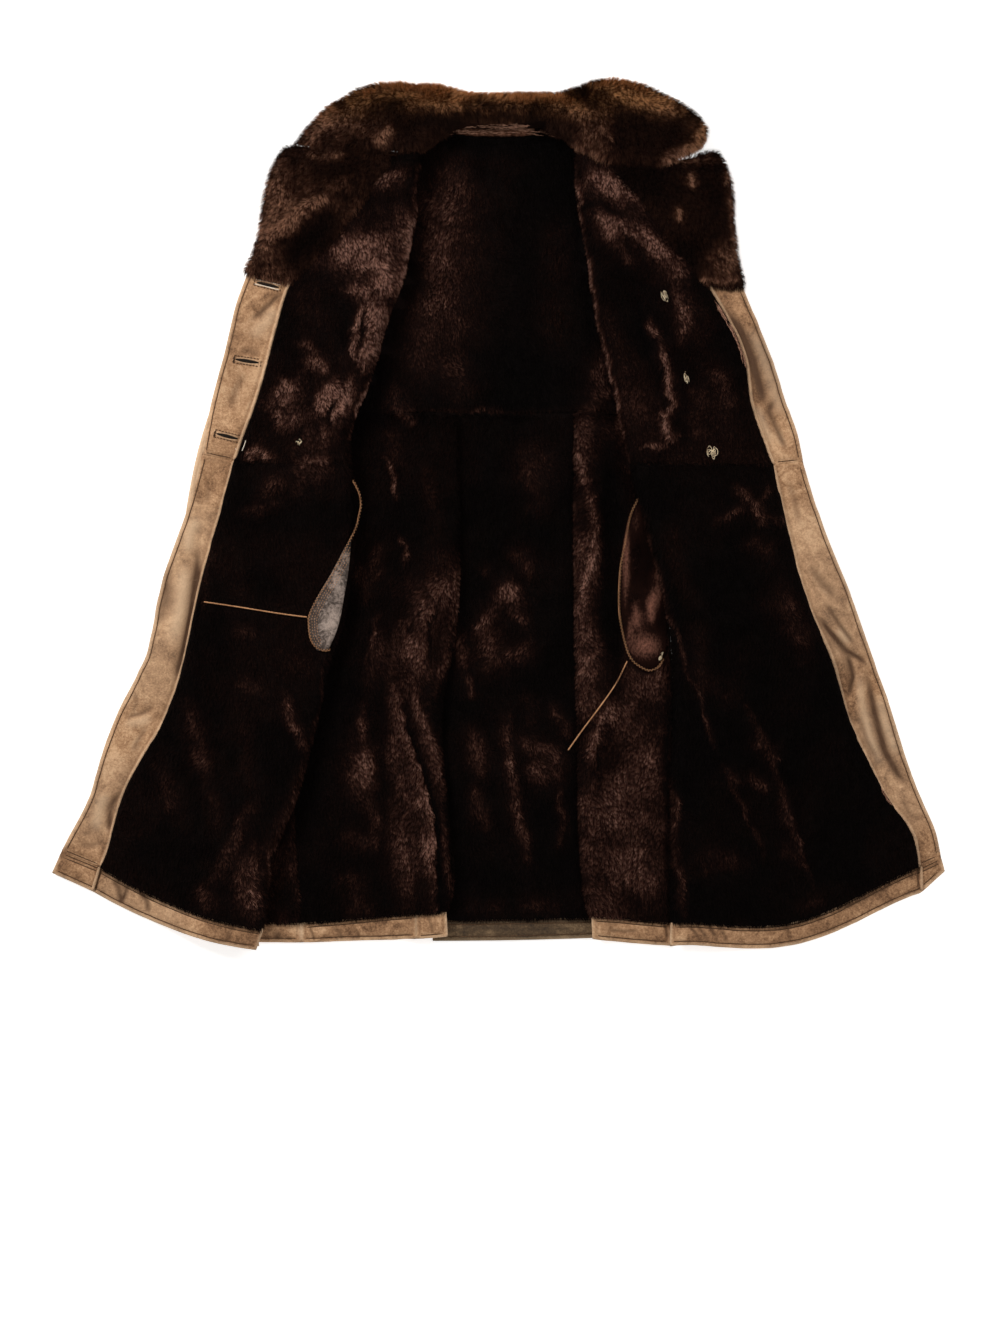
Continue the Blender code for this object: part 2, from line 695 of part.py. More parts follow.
def even_shares(count, rim):
    """Shares from 0 to 1, with one narrow step at each end."""
    inner = np.linspace(rim, 1 - rim, count - 2)
    return (0.0, *inner, 1.0)


def build_back_piece(name, table, columns, lapped, ridges, steps=STEPS_PER_ROW, first=0.0, last=0.0, **rims):
    grids = back_grids(table, even_shares(columns, 0.04), lapped, ridges, steps, rims)
    hide, fur = part_rows(grids, first, last)
    wall(name, hide, fur, "fur_brown")
    return hide


def build_side_piece():
    rows = len(SIDE_PIECE_LEFT_EDGE) - 1
    seam = smooth(BACK_SKIRT_LEFT, row_positions(SIDE_PIECE_ROW, SIDE_PIECE_ROW + rows))[:, 0:2]
    edge = smooth(SIDE_PIECE_LEFT_EDGE, row_positions(0, rows))[:, 0:2]
    places = across(edge, seam - np.array([SEAM_GAP, 0.0]), even_shares(4, 0.1))
    x = places[..., 0]
    y = places[..., 1]
    hide = stack(x, y, 0.0)
    fur = stack(x, y, thickness(x.shape, SHEARLING))
    wall("side_piece_left", hide, fur, "fur_brown")
    return hide


def build_strip(name, top, bottom, hide_z, finish):
    """A hem strip between two lines of places, with the height of its hide side along them."""
    places = across(top, bottom, STRIP_ACROSS)
    x = places[..., 0]
    y = places[..., 1]
    z = np.repeat(np.asarray(hide_z)[:, None], len(STRIP_ACROSS), axis=1)
    depth = thickness(x.shape, HEM_STRIP, first=FREE_RIM, last=FREE_RIM, last_column=FREE_RIM)
    wall(name, stack(x, y, z), stack(x, y, z + depth), finish)


def below(line):
    """The line that is SEAM_GAP below the end of a piece."""
    return line[:, 0:2] - np.array([0.0, SEAM_GAP])


def lower_line(start, end, shares, sag, fullness=1.0):
    share = np.asarray(shares)[:, None]
    places = np.asarray(start) * (1 - share) + np.asarray(end) * share
    places[:, 1] += sag * (4 * share[:, 0] * (1 - share[:, 0])) ** fullness
    return places


def build_front_hem(name, side, front_hide, facing_hide, fold_end, seam_end, corner, sag):
    """The strip below a front and its facing, from the fold to the front's corner."""
    top_start = len(UNDER_RUN) + len(BEND_ANGLES)
    tip = side.skirt[-1]
    run = front_hide[-1, top_start:]
    fold_tip = np.array([[tip.fold_x, tip.fold_y, tip.rise]])
    above = np.concatenate([fold_tip, run, facing_hide[-1, 1:]])
    away = np.linalg.norm(run[:, 0:2] - fold_tip[:, 0:2], axis=1)
    shares = [0.0, *(away / away[-1])]
    under_front = lower_line(fold_end, seam_end, shares, sag, side.fullness)
    under_facing = lower_line(seam_end, corner, FACING_ACROSS[1:], 0.0)
    lower = np.concatenate([under_front, under_facing])
    build_strip(name, below(above), lower, above[:, 2], "leather_tan")


def build_sleeve(name, table):
    """A flattened tube from the armhole to the cuff, open at both ends."""
    values = smooth(table, row_positions(0, len(table) - 1, 1))
    height = 2 * SLEEVE_WALL + SLEEVE_HOLLOW
    arc = np.radians((-60, -20, 20, 60))
    rings = []
    for outer_x, outer_y, inner_x, inner_y in values:
        outer = np.array((outer_x, outer_y))
        inner = np.array((inner_x, inner_y))
        middle = (outer + inner) / 2
        half = np.linalg.norm(outer - inner) / 2
        along = (outer - inner) / (2 * half)
        for tall in (height, SLEEVE_HOLLOW):
            radius = tall / 2
            flat = half - height / 2
            reach = [*(np.array((-0.9, 0.0, 0.9)) * flat), *(flat + radius * np.cos(arc))]
            up = [-radius] * 3 + list(radius * np.sin(arc))
            reach += [-value for value in reach]
            up += [-value for value in up]
            rings.append([(*(middle + along * r), height / 2 + z) for r, z in zip(reach, up)])
    count = len(rings[0])
    points = [point for ring in rings for point in ring]
    faces = []
    stations = len(rings) // 2
    for place in range(count):
        beside = (place + 1) % count
        for station in range(stations - 1):
            outer = 2 * station * count
            inner = outer + count
            step = 2 * count
            faces.append((outer + place, outer + beside, outer + step + beside, outer + step + place))
            faces.append((inner + place, inner + step + place, inner + step + beside, inner + beside))
        for outer in (0, 2 * (stations - 1) * count):
            inner = outer + count
            faces.append((outer + place, inner + place, inner + beside, outer + beside))
    return solid(name, points, faces, "leather_tan")


def build_collar():
    values = smooth(COLLAR, row_positions(0, len(COLLAR) - 1))
    places = across(values[:, 2:4], values[:, 0:2], COLLAR_ACROSS)
    share = np.asarray(COLLAR_ACROSS)[None, :]
    neck_z, arch, rim_z = values[:, 4:5], values[:, 5:6], values[:, 6:7]
    hide_z = neck_z * (1 - share) + rim_z * share + arch * 4 * share * (1 - share)
    x = places[..., 0]
    y = places[..., 1]
    depth = thickness(x.shape, COLLAR_PILE, FREE_RIM, FREE_RIM, TUCKED_RIM, FREE_RIM)
    wall("collar", stack(x, y, hide_z), stack(x, y, hide_z + depth), "fur_collar")


def build_neck_binding():
    """The bound edge of the neck seam, which lies on the back just below the collar."""
    neck = [(row.neck_x, row.neck_y) for row in COLLAR[7:10]]
    line = smooth(neck, row_positions(0, 2, 4))
    start = line - np.array([0.0, 0.8])
    end = line - np.array([0.0, 7.0])
    places = across(start, end, STRIP_ACROSS)
    x = places[..., 0]
    y = places[..., 1]
    floor_z = np.full(x.shape, SHEARLING + REST_GAP)
    depth = thickness(x.shape, NECK_BINDING, FREE_RIM, FREE_RIM, FREE_RIM, FREE_RIM)
    wall("neck_binding", stack(x, y, floor_z), stack(x, y, floor_z + depth), "leather_tan")


def back_right_height(x, y):
    """Height of the fur side of the right back piece."""
    return back_hide_height(x) + SHEARLING + ridge_height(x, y, BACK_RIGHT_RIDGES)


def build_pocket_bag(name, table, surface, finish):
    values = smooth(table, row_positions(0, len(table) - 1))
    places = across(values[:, 0:2], values[:, 2:4], even_shares(6, 0.12))
    x = places[..., 0]
    y = places[..., 1]
    under_z = surface(x, y) + LOOSE_GAP
    depth = thickness(x.shape, POCKET_CLOTH, 0.8, 0.8, 0.8, 0.8)
    wall(name, stack(x, y, under_z), stack(x, y, under_z + depth), finish)


def build_knot(knot, height):
    """A flattened ball of thread."""
    builder = bmesh.new()
    bmesh.ops.create_icosphere(builder, subdivisions=2, radius=1.0)
    points = [tuple(vertex.co) for vertex in builder.verts]
    faces = [tuple(vertex.index for vertex in face.verts) for face in builder.faces]
    builder.free()
    flat = 0.45 * knot.radius
    middle = height + REST_GAP + flat
    placed = []
    for x, y, z in points:
        placed.append((knot.x + x * knot.radius, knot.y + 0.8 * y * knot.radius, middle + z * flat))
    solid(knot.name, placed, faces, "thread")


def build_button(name, x, y, top):
    """A turned disc with a rim, face down on the leather side."""
    profile = ((0.72, 0.0), (1.0, 0.25), (1.0, 0.75), (0.9, 1.0))  # share of the radius, of the depth
    sides = 16
    points = []
    for share, level in profile:
        z = top - level * BUTTON_THICKNESS
        for step in range(sides):
            turn = 2 * math.pi * step / sides
            reach = share * BUTTON_RADIUS
            points.append((x + reach * math.cos(turn), y + reach * math.sin(turn), z))
    rings = len(points) // sides
    faces = [tuple(range(sides)), tuple(range((rings - 1) * sides, rings * sides))[::-1]]
    for ring in range(rings - 1):
        for step in range(sides):
            beside = (step + 1) % sides
            a = ring * sides
            faces.append((a + step, a + sides + step, a + sides + beside, a + beside))
    solid(name, points, faces, "horn")


def build_cord(name, stations, surface):
    """A round cord that lies on what is under it."""
    rows = row_positions(0, len(stations) - 1, 8)
    places = smooth(stations, rows)
    lie = surface(places[:, 0], places[:, 1]) + CORD_DIAMETER / 2 + LOOSE_GAP
    for _ in range(3):
        beside = np.maximum(np.append(lie[1:], lie[-1]), np.append(lie[0], lie[:-1]))
        lie = np.maximum(lie, (lie + beside) / 2)
    curve = bpy.data.curves.new(name, "CURVE")
    curve.dimensions = "3D"
    curve.bevel_depth = CORD_DIAMETER / 2 * MM
    curve.bevel_resolution = 2
    curve.use_fill_caps = True
    spline = curve.splines.new("POLY")
    spline.points.add(len(places) - 1)
    for point, (x, y), z in zip(spline.points, places, lie):
        point.co = (x * MM, y * MM, z * MM, 1.0)
    curve.materials.append(material("thread"))
    cord = bpy.data.objects.new(name, curve)
    bpy.context.collection.objects.link(cord)


def build_backs():
    half_seam = SEAM_GAP / 2
    build_back_piece("back_upper", BACK_UPPER, 10, False, (), last=half_seam)
    left = build_back_piece(
        "back_skirt_left", BACK_SKIRT_LEFT, 14, True, BACK_LEFT_RIDGES, first=half_seam, last_column=FREE_RIM
    )
    centre = build_back_piece(
        "back_skirt_centre", BACK_SKIRT_CENTRE, 11, False, BACK_CENTRE_RIDGES, 4, half_seam
    )
    right = build_back_piece(
        "back_skirt_right",
        BACK_SKIRT_RIGHT,
        10,
        True,
        BACK_RIGHT_RIDGES,
        first=half_seam,
        first_column=FREE_RIM,
    )
    side = build_side_piece()
    return left, centre, right, side


def build_back_hems(left, centre, right, side):
    turn = 10  # the column of the left piece where the strip's turned end is joined on
    gap = np.array([SEAM_GAP, 0.0])
    rows = (
        ("hem_side_left", side[-1], (-345, -535), (-247.5, -536), 0.0, "leather_tan"),
        ("hem_back_left", left[-1, : turn + 1], (-246.5, -536), None, 0.0, "leather_tan"),
        ("hem_back_left_turn", left[-1, turn:], None, (-64, -528), 0.0, "leather_tan"),
        ("hem_back_centre", centre[-1], (-82, -534), (128, -530), -1.0, "leather_dark"),
        ("hem_back_right", right[-1], (118, -531), (214.4, -540), -1.0, "leather_tan"),
    )
    joint = np.array([left[-1, turn, 0] + 0.5, -531.0])
    for name, above, start, end, sag, finish in rows:
        top = below(above)
        start_place = joint + gap if start is None else np.array(start, float)
        end_place = joint if end is None else np.array(end, float)
        if start is None:
            top[0] += gap
        shares = (top[:, 0] - top[0, 0]) / (top[-1, 0] - top[0, 0])
        build_strip(name, top, lower_line(start_place, end_place, shares, sag), above[:, 2], finish)


def build_fronts():
    half_seam = SEAM_GAP / 2
    build_front("front_left_upper", LEFT, FRONT_LEFT_UPPER, last=half_seam)
    build_front("front_right_upper", RIGHT, FRONT_RIGHT_UPPER, last=half_seam)
    left = build_front("front_left_skirt", LEFT, FRONT_LEFT_SKIRT, first=half_seam)
    right = build_front("front_right_skirt", RIGHT, FRONT_RIGHT_SKIRT, first=half_seam)
    build_lapel("lapel_left", LEFT, FRONT_LEFT_UPPER, LAPEL_LEFT_EDGE)
    build_lapel("lapel_right", RIGHT, FRONT_RIGHT_UPPER, LAPEL_RIGHT_EDGE)
    build_facing("facing_left_upper", LEFT, FRONT_LEFT_UPPER, FACING_LEFT_UPPER_EDGE, 4, 0.0, half_seam)
    build_facing("facing_right_upper", RIGHT, FRONT_RIGHT_UPPER, FACING_RIGHT_UPPER_EDGE, 4, 0.0, half_seam)
    left_facing = build_facing(
        "facing_left_lower", LEFT, FRONT_LEFT_SKIRT, FACING_LEFT_LOWER_EDGE, 0, half_seam
    )
    right_facing = build_facing(
        "facing_right_lower", RIGHT, FRONT_RIGHT_SKIRT, FACING_RIGHT_LOWER_EDGE, 0, half_seam
    )
    build_front_hem(
        "hem_front_left", LEFT, left, left_facing, (-303, -544), (-508, -472), (-559, -449), -12
    )
    build_front_hem(
        "hem_front_right", RIGHT, right, right_facing, (215, -540), (529, -474), (559, -447), -32
    )
    under = left[-1, : len(UNDER_RUN)]
    shares = (0.0, *UNDER_RUN[1:])
    lower = lower_line((-345, -534), (-300, -540), shares, 0.0)
    build_strip("hem_front_left_under", below(under), lower, under[:, 2] - SHEARLING, "leather_tan")


def build_trims():
    build_collar()
    build_neck_binding()
    build_sleeve("sleeve_left", SLEEVE_LEFT)
    build_sleeve("sleeve_right", SLEEVE_RIGHT)
    build_pocket_bag("pocket_bag_left", POCKET_BAG_LEFT, LEFT.fur_height, "pocket_leather")
    build_pocket_bag("pocket_bag_right", POCKET_BAG_RIGHT, back_right_height, "pocket_suede")
    for knot in KNOTS:
        side = LEFT if knot.x < 0 else RIGHT
        place = np.array([float(knot.x)]), np.array([float(knot.y)])
        build_knot(knot, float(side.fur_height(*place)[0]))
        rise = side.at_height(knot.y, "rise")
        under = float(side.hide_height(*place, rise)[0])
        build_button(knot.name.replace("stay_knot", "button"), knot.x, knot.y, under - SEAM_GAP)
    bag_top = float(back_right_height(np.array([float(POCKET_KNOT.x)]), np.array([float(POCKET_KNOT.y)]))[0])
    build_knot(POCKET_KNOT, bag_top + LOOSE_GAP + POCKET_CLOTH)
    build_cord("pocket_cord_left", CORD_LEFT, LEFT.fur_height)
    build_cord("pocket_cord_right", CORD_RIGHT, back_right_height)


clear_scene()
build_back_hems(*build_backs())
build_fronts()
build_trims()
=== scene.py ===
import math
from collections import namedtuple

import bmesh
import bpy
import numpy as np
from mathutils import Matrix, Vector
from mathutils.bvhtree import BVHTree


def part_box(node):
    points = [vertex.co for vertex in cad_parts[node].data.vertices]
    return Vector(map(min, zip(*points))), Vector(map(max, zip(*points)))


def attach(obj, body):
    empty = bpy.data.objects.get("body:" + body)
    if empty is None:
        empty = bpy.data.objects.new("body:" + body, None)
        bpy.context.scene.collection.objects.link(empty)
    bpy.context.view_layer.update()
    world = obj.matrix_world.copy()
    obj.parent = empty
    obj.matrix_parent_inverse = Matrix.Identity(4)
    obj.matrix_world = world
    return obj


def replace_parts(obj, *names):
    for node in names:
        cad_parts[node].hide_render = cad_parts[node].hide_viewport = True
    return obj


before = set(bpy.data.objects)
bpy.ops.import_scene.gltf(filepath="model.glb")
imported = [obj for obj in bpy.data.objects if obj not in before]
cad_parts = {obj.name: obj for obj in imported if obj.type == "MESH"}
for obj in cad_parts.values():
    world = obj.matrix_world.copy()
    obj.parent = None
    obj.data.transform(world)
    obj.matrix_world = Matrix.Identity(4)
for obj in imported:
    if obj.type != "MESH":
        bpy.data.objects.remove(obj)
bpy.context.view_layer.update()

MM = 0.001
RAY_START = 90.0  # mm over the floor, above every piece
LOWEST = 0.3  # mm over the floor: no cloth goes under it
PILE_TOP = 52.4  # mm over the floor: no hair goes past it
FAR = 1e9
DOWN = Vector((0, 0, -1))

# ---------------------------------------------------------------- the view

CAMERA_HEIGHT = 5.0
PICTURE_HEIGHT = 1.6663  # metres of floor from the bottom of the picture to its top
MEAN_LEVEL = 0.018


def place_camera():
    """Looks straight down on the coat from far up, so that heights hardly spread."""
    lens = bpy.data.cameras.new("overhead_camera")
    lens.sensor_fit = "AUTO"
    lens.sensor_width = 36.0
    lens.lens = 36.0 * CAMERA_HEIGHT / PICTURE_HEIGHT
    lens.clip_end = 50.0
    camera = bpy.data.objects.new("overhead_camera", lens)
    camera.location = (0.0019, -0.1906, CAMERA_HEIGHT + MEAN_LEVEL)
    bpy.context.collection.objects.link(camera)
    bpy.context.scene.camera = camera


place_camera()

# ---------------------------------------------------------------- finishes


class Signal:
    """A value or colour on its way through a finish, used in sums and products like a number."""

    def __init__(self, finish, socket):
        self.finish = finish
        self.socket = socket

    def sum_of(self, operation, first, second):
        return self.finish.node("ShaderNodeMath", {"operation": operation}, {0: first, 1: second})

    def __add__(self, other):
        return self.sum_of("ADD", self, other)

    def __radd__(self, other):
        return self.sum_of("ADD", other, self)

    def __sub__(self, other):
        return self.sum_of("SUBTRACT", self, other)

    def __rsub__(self, other):
        return self.sum_of("SUBTRACT", other, self)

    def __mul__(self, other):
        return self.sum_of("MULTIPLY", self, other)

    def __rmul__(self, other):
        return self.sum_of("MULTIPLY", other, self)

    def __truediv__(self, other):
        return self.sum_of("DIVIDE", self, other)

    def __pow__(self, other):
        return self.sum_of("POWER", self, other)


class Finish:
    """A material made of nodes."""

    def __init__(self, name, **constants):
        self.material = bpy.data.materials.new(name)
        self.material.use_nodes = True
        self.tree = self.material.node_tree
        self.shader = self.tree.nodes["Principled BSDF"]
        for socket, value in constants.items():
            self.shader.inputs[socket.replace("_", " ").title().replace("Ior", "IOR")].default_value = value

    def feed(self, socket, value):
        if isinstance(value, Signal):
            self.tree.links.new(value.socket, socket)
        else:
            socket.default_value = value

    def node(self, kind, settings=None, inputs=None, output=0):
        made = self.tree.nodes.new(kind)
        for setting, value in (settings or {}).items():
            setattr(made, setting, value)
        for socket, value in (inputs or {}).items():
            self.feed(made.inputs[socket], value)
        return Signal(self, made.outputs[output])

    def place(self):
        return self.node("ShaderNodeTexCoord", output="Object")

    def drawn_out(self, place, share=0.6):
        """Places drawn out down the coat, the way that the nap lies."""
        return self.node("ShaderNodeVectorMath", {"operation": "MULTIPLY"}, {0: place, 1: (1.0, share, 1.0)})

    def value(self, name):
        return self.node("ShaderNodeAttribute", {"attribute_name": name}, output="Fac")

    def noise(self, place, scale, detail=2.0, roughness=0.55, distortion=0.0):
        inputs = {"Scale": scale, "Detail": detail, "Roughness": roughness, "Distortion": distortion}
        return self.node("ShaderNodeTexNoise", None, {"Vector": place, **inputs})

    def cells(self, place, scale):
        return self.node("ShaderNodeTexVoronoi", None, {"Vector": place, "Scale": scale}, "Distance")

    def ramp(self, value, stops):
        ramp = self.node("ShaderNodeValToRGB", None, {"Fac": value})
        elements = ramp.socket.node.color_ramp.elements
        while len(elements) < len(stops):
            elements.new(0.5)
        for element, (position, colour) in zip(elements, stops):
            element.position = position
            element.color = (*colour, 1.0)
        return ramp

    def range(self, value, low, high, start=0.0, end=1.0):
        inputs = {"Value": value, "From Min": low, "From Max": high, "To Min": start, "To Max": end}
        return self.node("ShaderNodeMapRange", {"clamp": True}, inputs)

    def mix(self, share, first, second):
        """Goes from one colour to another. A mix node has its colours at sockets 6 and 7, and its result at 2."""
        first, second = (side if isinstance(side, Signal) else (*side, 1.0) for side in (first, second))
        return self.node("ShaderNodeMix", {"data_type": "RGBA"}, {0: share, 6: first, 7: second}, 2)

    def wear(self, colour, roughness, relief, strength, distance):
        """Puts on a colour, a roughness and a fine relief, whose distance is in metres. Gives the material."""
        heights = {"Height": relief, "Strength": strength, "Distance": distance}
        normal = self.node("ShaderNodeBump", None, heights)
        for socket, value in (("Base Color", colour), ("Roughness", roughness), ("Normal", normal)):
            self.feed(self.shader.inputs[socket], value)
        return self.material


def fur_finish(name, shades, golden_shades, **constants):
    """Clipped sheepskin pile: dark at the roots, painted lighter by its tone where the nap is turned to the light
    (painted nap sheen and highlights), and painted golden where warm light falls on the collar.
    """
    finish = Finish(name, **constants)
    place = finish.place()
    fine = finish.noise(place, 650.0, 2.0)
    tufts = finish.noise(finish.drawn_out(place), 170.0, 3.0, 0.6, 0.4)
    tone = finish.value("tone") * (0.55 + 0.4 * fine + 0.5 * tufts)
    golden_light = finish.range(finish.value("golden_light") + 0.3 * (tufts - 0.5), 0.0, 1.0)
    colour = finish.mix(golden_light, finish.ramp(tone, shades), finish.ramp(tone, golden_shades))
    return finish.wear(colour, finish.range(tone, 0.0, 0.8, 0.8, 0.55), fine + tufts * 1.5, 0.5, 0.002)


def leather_finish(name, shades, wear_and_highlight_colour, soil_and_shade_colour, specular):
    """Distressed hide: cloudy colour, fine grain, places painted dark along creases and grooves (soil and painted
    shade), and places painted light along ridges and edges (wear and painted highlight).
    """
    finish = Finish(name, specular_ior_level=specular)
    place = finish.place()
    clouds = finish.noise(place, 9.0, 3.0, 0.55, 0.6)
    blotches = finish.noise(place, 42.0, 4.0, 0.65, 1.0)
    specks = finish.noise(place, 360.0, 3.0, 0.75)
    pores = finish.cells(place, 800.0)
    wrinkle = finish.noise(place, 190.0, 4.0, 0.6, 1.2)
    shade = 0.32 * clouds + 0.38 * blotches + 0.3 * specks
    wear_and_highlight_share = finish.range(finish.value("wear_and_highlight") + 0.3 * (blotches - 0.5), 0.02, 1.0)
    worn_and_lit = finish.mix(wear_and_highlight_share, finish.ramp(finish.range(shade, 0.4, 0.6), shades), wear_and_highlight_colour)
    soil_and_shade_share = finish.range(finish.value("soil") + 0.5 * (blotches - 0.5) + 0.2 * (specks - 0.5), 0.08, 1.0)
    grain = finish.range(pores, 0.0, 0.5) * 0.4 + wrinkle * 1.1 + specks * 0.5
    roughness = finish.range(blotches + 0.3 * specks, 0.3, 1.0, 0.55, 0.85)
    return finish.wear(finish.mix(soil_and_shade_share, worn_and_lit, soil_and_shade_colour), roughness, grain, 0.8, 0.0014)


def suede_finish():
    """The napped side of a thin hide: cloudy, napped colour, with painted highlights from its tone."""
    finish = Finish("pocket_suede_finish", specular_ior_level=0.02)
    place = finish.place()
    clouds = finish.noise(place, 60.0, 4.0, 0.65, 1.0)
    nap = finish.range(finish.noise(finish.drawn_out(place), 420.0, 3.0, 0.8), 0.3, 0.7)
    tone = finish.value("tone") * (0.25 + 0.6 * clouds + 1.0 * nap)
    shades = ((0.0, (0.0014, 0.0006, 0.0005)), (0.25, (0.013, 0.0048, 0.0034)), (1.0, (0.23, 0.098, 0.067)))
    return finish.wear(finish.ramp(tone, shades), finish.range(nap, 0.2, 0.8, 0.75, 0.95), nap + clouds, 0.6, 0.001)


def smooth_leather_finish():
    """Smooth grey-brown pocket leather with shine on its small wrinkles, partly real and partly painted: lighter
    colour on their crests and where its tone paints highlights.
    """
    finish = Finish("pocket_leather_finish", specular_ior_level=0.3)
    place = finish.place()
    wrinkles = finish.noise(place, 110.0, 4.0, 0.65, 1.6)
    pores = finish.cells(place, 900.0)
    fine = finish.noise(place, 520.0, 3.0, 0.8)
    tone = 0.75 * wrinkles + 0.35 * fine + 0.5 * finish.value("tone") - 0.24
    shades = ((0.22, (0.012, 0.008, 0.006)), (0.42, (0.07, 0.05, 0.041)), (0.72, (0.42, 0.33, 0.28)))
    roughness = finish.range(wrinkles, 0.3, 0.7, 0.4, 0.6)
    return finish.wear(finish.ramp(tone, shades), roughness, wrinkles + 0.4 * pores, 0.6, 0.001)


def thread_finish(name, dark, light, roughness=0.6, patches=90.0, spread=(0.3, 0.8)):
    """Thread: fine fuzz, and small changes of colour."""
    finish = Finish(name, specular_ior_level=0.2)
    place = finish.place()
    fuzz = finish.noise(place, 1500.0, 2.0)
    drift = finish.noise(place, patches, 2.0)
    shade = finish.range(0.6 * fuzz + 0.5 * drift, *spread)
    roughness = finish.range(fuzz, 0.2, 0.8, roughness - 0.1, roughness + 0.15)
    return finish.wear(finish.mix(shade, dark, light), roughness, fuzz, 0.3, 0.0004)


def horn_finish():
    """Polished dark horn with paler streaks."""
    finish = Finish("button_horn", coat_weight=0.3, coat_roughness=0.15)
    streaks = finish.noise(finish.drawn_out(finish.place(), 0.2), 160.0, 4.0, 0.6, 1.5)
    shades = ((0.35, (0.02, 0.01, 0.006)), (0.55, (0.09, 0.045, 0.02)), (0.8, (0.3, 0.19, 0.1)))
    roughness = finish.range(streaks, 0.3, 0.7, 0.25, 0.4)
    return finish.wear(finish.ramp(streaks, shades), roughness, streaks, 0.1, 0.0005)


def floor_finish():
    """A pale, even floor that gives a little light of its own."""
    finish = Finish(
        "pale_floor",
        roughness=0.9,
        specular_ior_level=0.1,
        emission_strength=0.6,
        emission_color=(1.0, 1.0, 1.0, 1.0),
    )
    haze = finish.noise(finish.place(), 1.3, 2.0)
    finish.feed(finish.shader.inputs["Base Color"], finish.mix(haze, (0.93, 0.93, 0.93), (0.9, 0.9, 0.9)))
    return finish.material


# Pile colours for its tone: the low stops are unlit pile, the high stops painted nap sheen and highlights; the
# golden ramp paints warm light on the collar.
BROWN_SHADES = (
    (0.0, (0.0009, 0.0004, 0.0003)),
    (0.22, (0.0095, 0.0031, 0.002)),
    (0.45, (0.041, 0.0152, 0.0102)),
    (0.7, (0.13, 0.0555, 0.0385)),
    (1.0, (0.36, 0.19, 0.143)),
)
COLLAR_SHADES = (
    (0.0, (0.003, 0.0012, 0.0008)),
    (0.25, (0.028, 0.0105, 0.006)),
    (0.5, (0.09, 0.036, 0.021)),
    (1.0, (0.42, 0.21, 0.13)),
)
GOLDEN_SHADES = (
    (0.0, (0.004, 0.0018, 0.0008)),
    (0.25, (0.042, 0.0165, 0.0065)),
    (0.5, (0.155, 0.062, 0.023)),
    (1.0, (0.58, 0.28, 0.11)),
)
TAN_SHADES = (
    (0.0, (0.14, 0.066, 0.029)),
    (0.3, (0.3, 0.158, 0.077)),
    (0.65, (0.47, 0.265, 0.138)),
    (1.0, (0.68, 0.425, 0.245)),
)
OLIVE_SHADES = (
    (0.0, (0.03, 0.017, 0.008)),
    (0.5, (0.095, 0.057, 0.028)),
    (1.0, (0.22, 0.142, 0.075)),
)

FINISHES = {
    "fur_brown": fur_finish("brown_pile", BROWN_SHADES, GOLDEN_SHADES, specular_ior_level=0.06),
    "fur_collar": fur_finish("collar_pile", COLLAR_SHADES, GOLDEN_SHADES, specular_ior_level=0.06),
    "leather_tan": leather_finish("tan_hide", TAN_SHADES, (0.68, 0.47, 0.3), (0.09, 0.042, 0.019), 0.3),
    "leather_dark": leather_finish("olive_hide", OLIVE_SHADES, (0.34, 0.24, 0.145), (0.03, 0.018, 0.01), 0.3),
    "pocket_leather": smooth_leather_finish(),
    "pocket_suede": suede_finish(),
    "thread": thread_finish("tan_thread", (0.22, 0.09, 0.038), (0.72, 0.38, 0.19)),
    "horn": horn_finish(),
}
DARK_THREAD = thread_finish("brown_thread", (0.028, 0.013, 0.006), (0.085, 0.042, 0.021))
PALE_THREAD = thread_finish("pale_thread", (0.5, 0.3, 0.15), (1.0, 0.97, 0.88))
KNOT_THREAD = thread_finish("knot_thread", (0.1, 0.038, 0.01), (1.0, 0.84, 0.58), 0.5, 260.0, (0.46, 0.62))
# The raw seam at the neck; its near-black dark colour paints the shadow under the collar.
RAW_EDGE = leather_finish(
    "raw_seam",
    ((0.0, (0.035, 0.014, 0.008)), (0.5, (0.12, 0.052, 0.032)), (1.0, (0.4, 0.2, 0.13))),
    (0.45, 0.25, 0.16),
    (0.004, 0.0015, 0.001),
    0.02,
)
FRAYED = thread_finish("frayed_interlining", (0.11, 0.045, 0.026), (0.5, 0.27, 0.18), 0.7, 300.0, (0.4, 0.66))
# Dark bars laid along the stitch rows: painted shade in their grooves.
GROOVE_SHADE = thread_finish("stitch_groove_shade", (0.04, 0.02, 0.009), (0.15, 0.08, 0.04), 0.8)
SLIT_SHADOW = thread_finish("slit_shadow", (0.006, 0.004, 0.003), (0.014, 0.009, 0.006), 0.9)

# ---------------------------------------------------------------- small tools


def soft_step(value):
    """Goes from 0 to 1 and starts and ends gently."""
    value = np.clip(value, 0.0, 1.0)
    return value * value * (3 - 2 * value)


def speckle(x, y, size, seed):
    """Smooth noise from 0 to 1 over the floor, with lumps about size mm wide."""
    across, down = np.asarray(x) / size, np.asarray(y) / size
    column, row = np.floor(across).astype(np.int64), np.floor(down).astype(np.int64)
    part_x, part_y = soft_step(across - column), soft_step(down - row)

    def corner(i, j):
        mixed = (i * 374761393 + j * 668265263 + seed * 974634777) & 0xFFFFFFFF
        mixed = ((mixed ^ (mixed >> 13)) * 1274126177) & 0xFFFFFFFF
        return ((mixed ^ (mixed >> 16)) & 0xFFFF) / 65535.0

    upper = corner(column, row) * (1 - part_x) + corner(column + 1, row) * part_x
    lower = corner(column, row + 1) * (1 - part_x) + corner(column + 1, row + 1) * part_x
    return upper * (1 - part_y) + lower * part_y


def cloudy(x, y, size, seed):
    """Three layers of speckle, each half the size of the last."""
    total = sum(speckle(x, y, size / 2**layer, seed + layer) / 2**layer for layer in range(3))
    return total / sum(1 / 2**layer for layer in range(3))


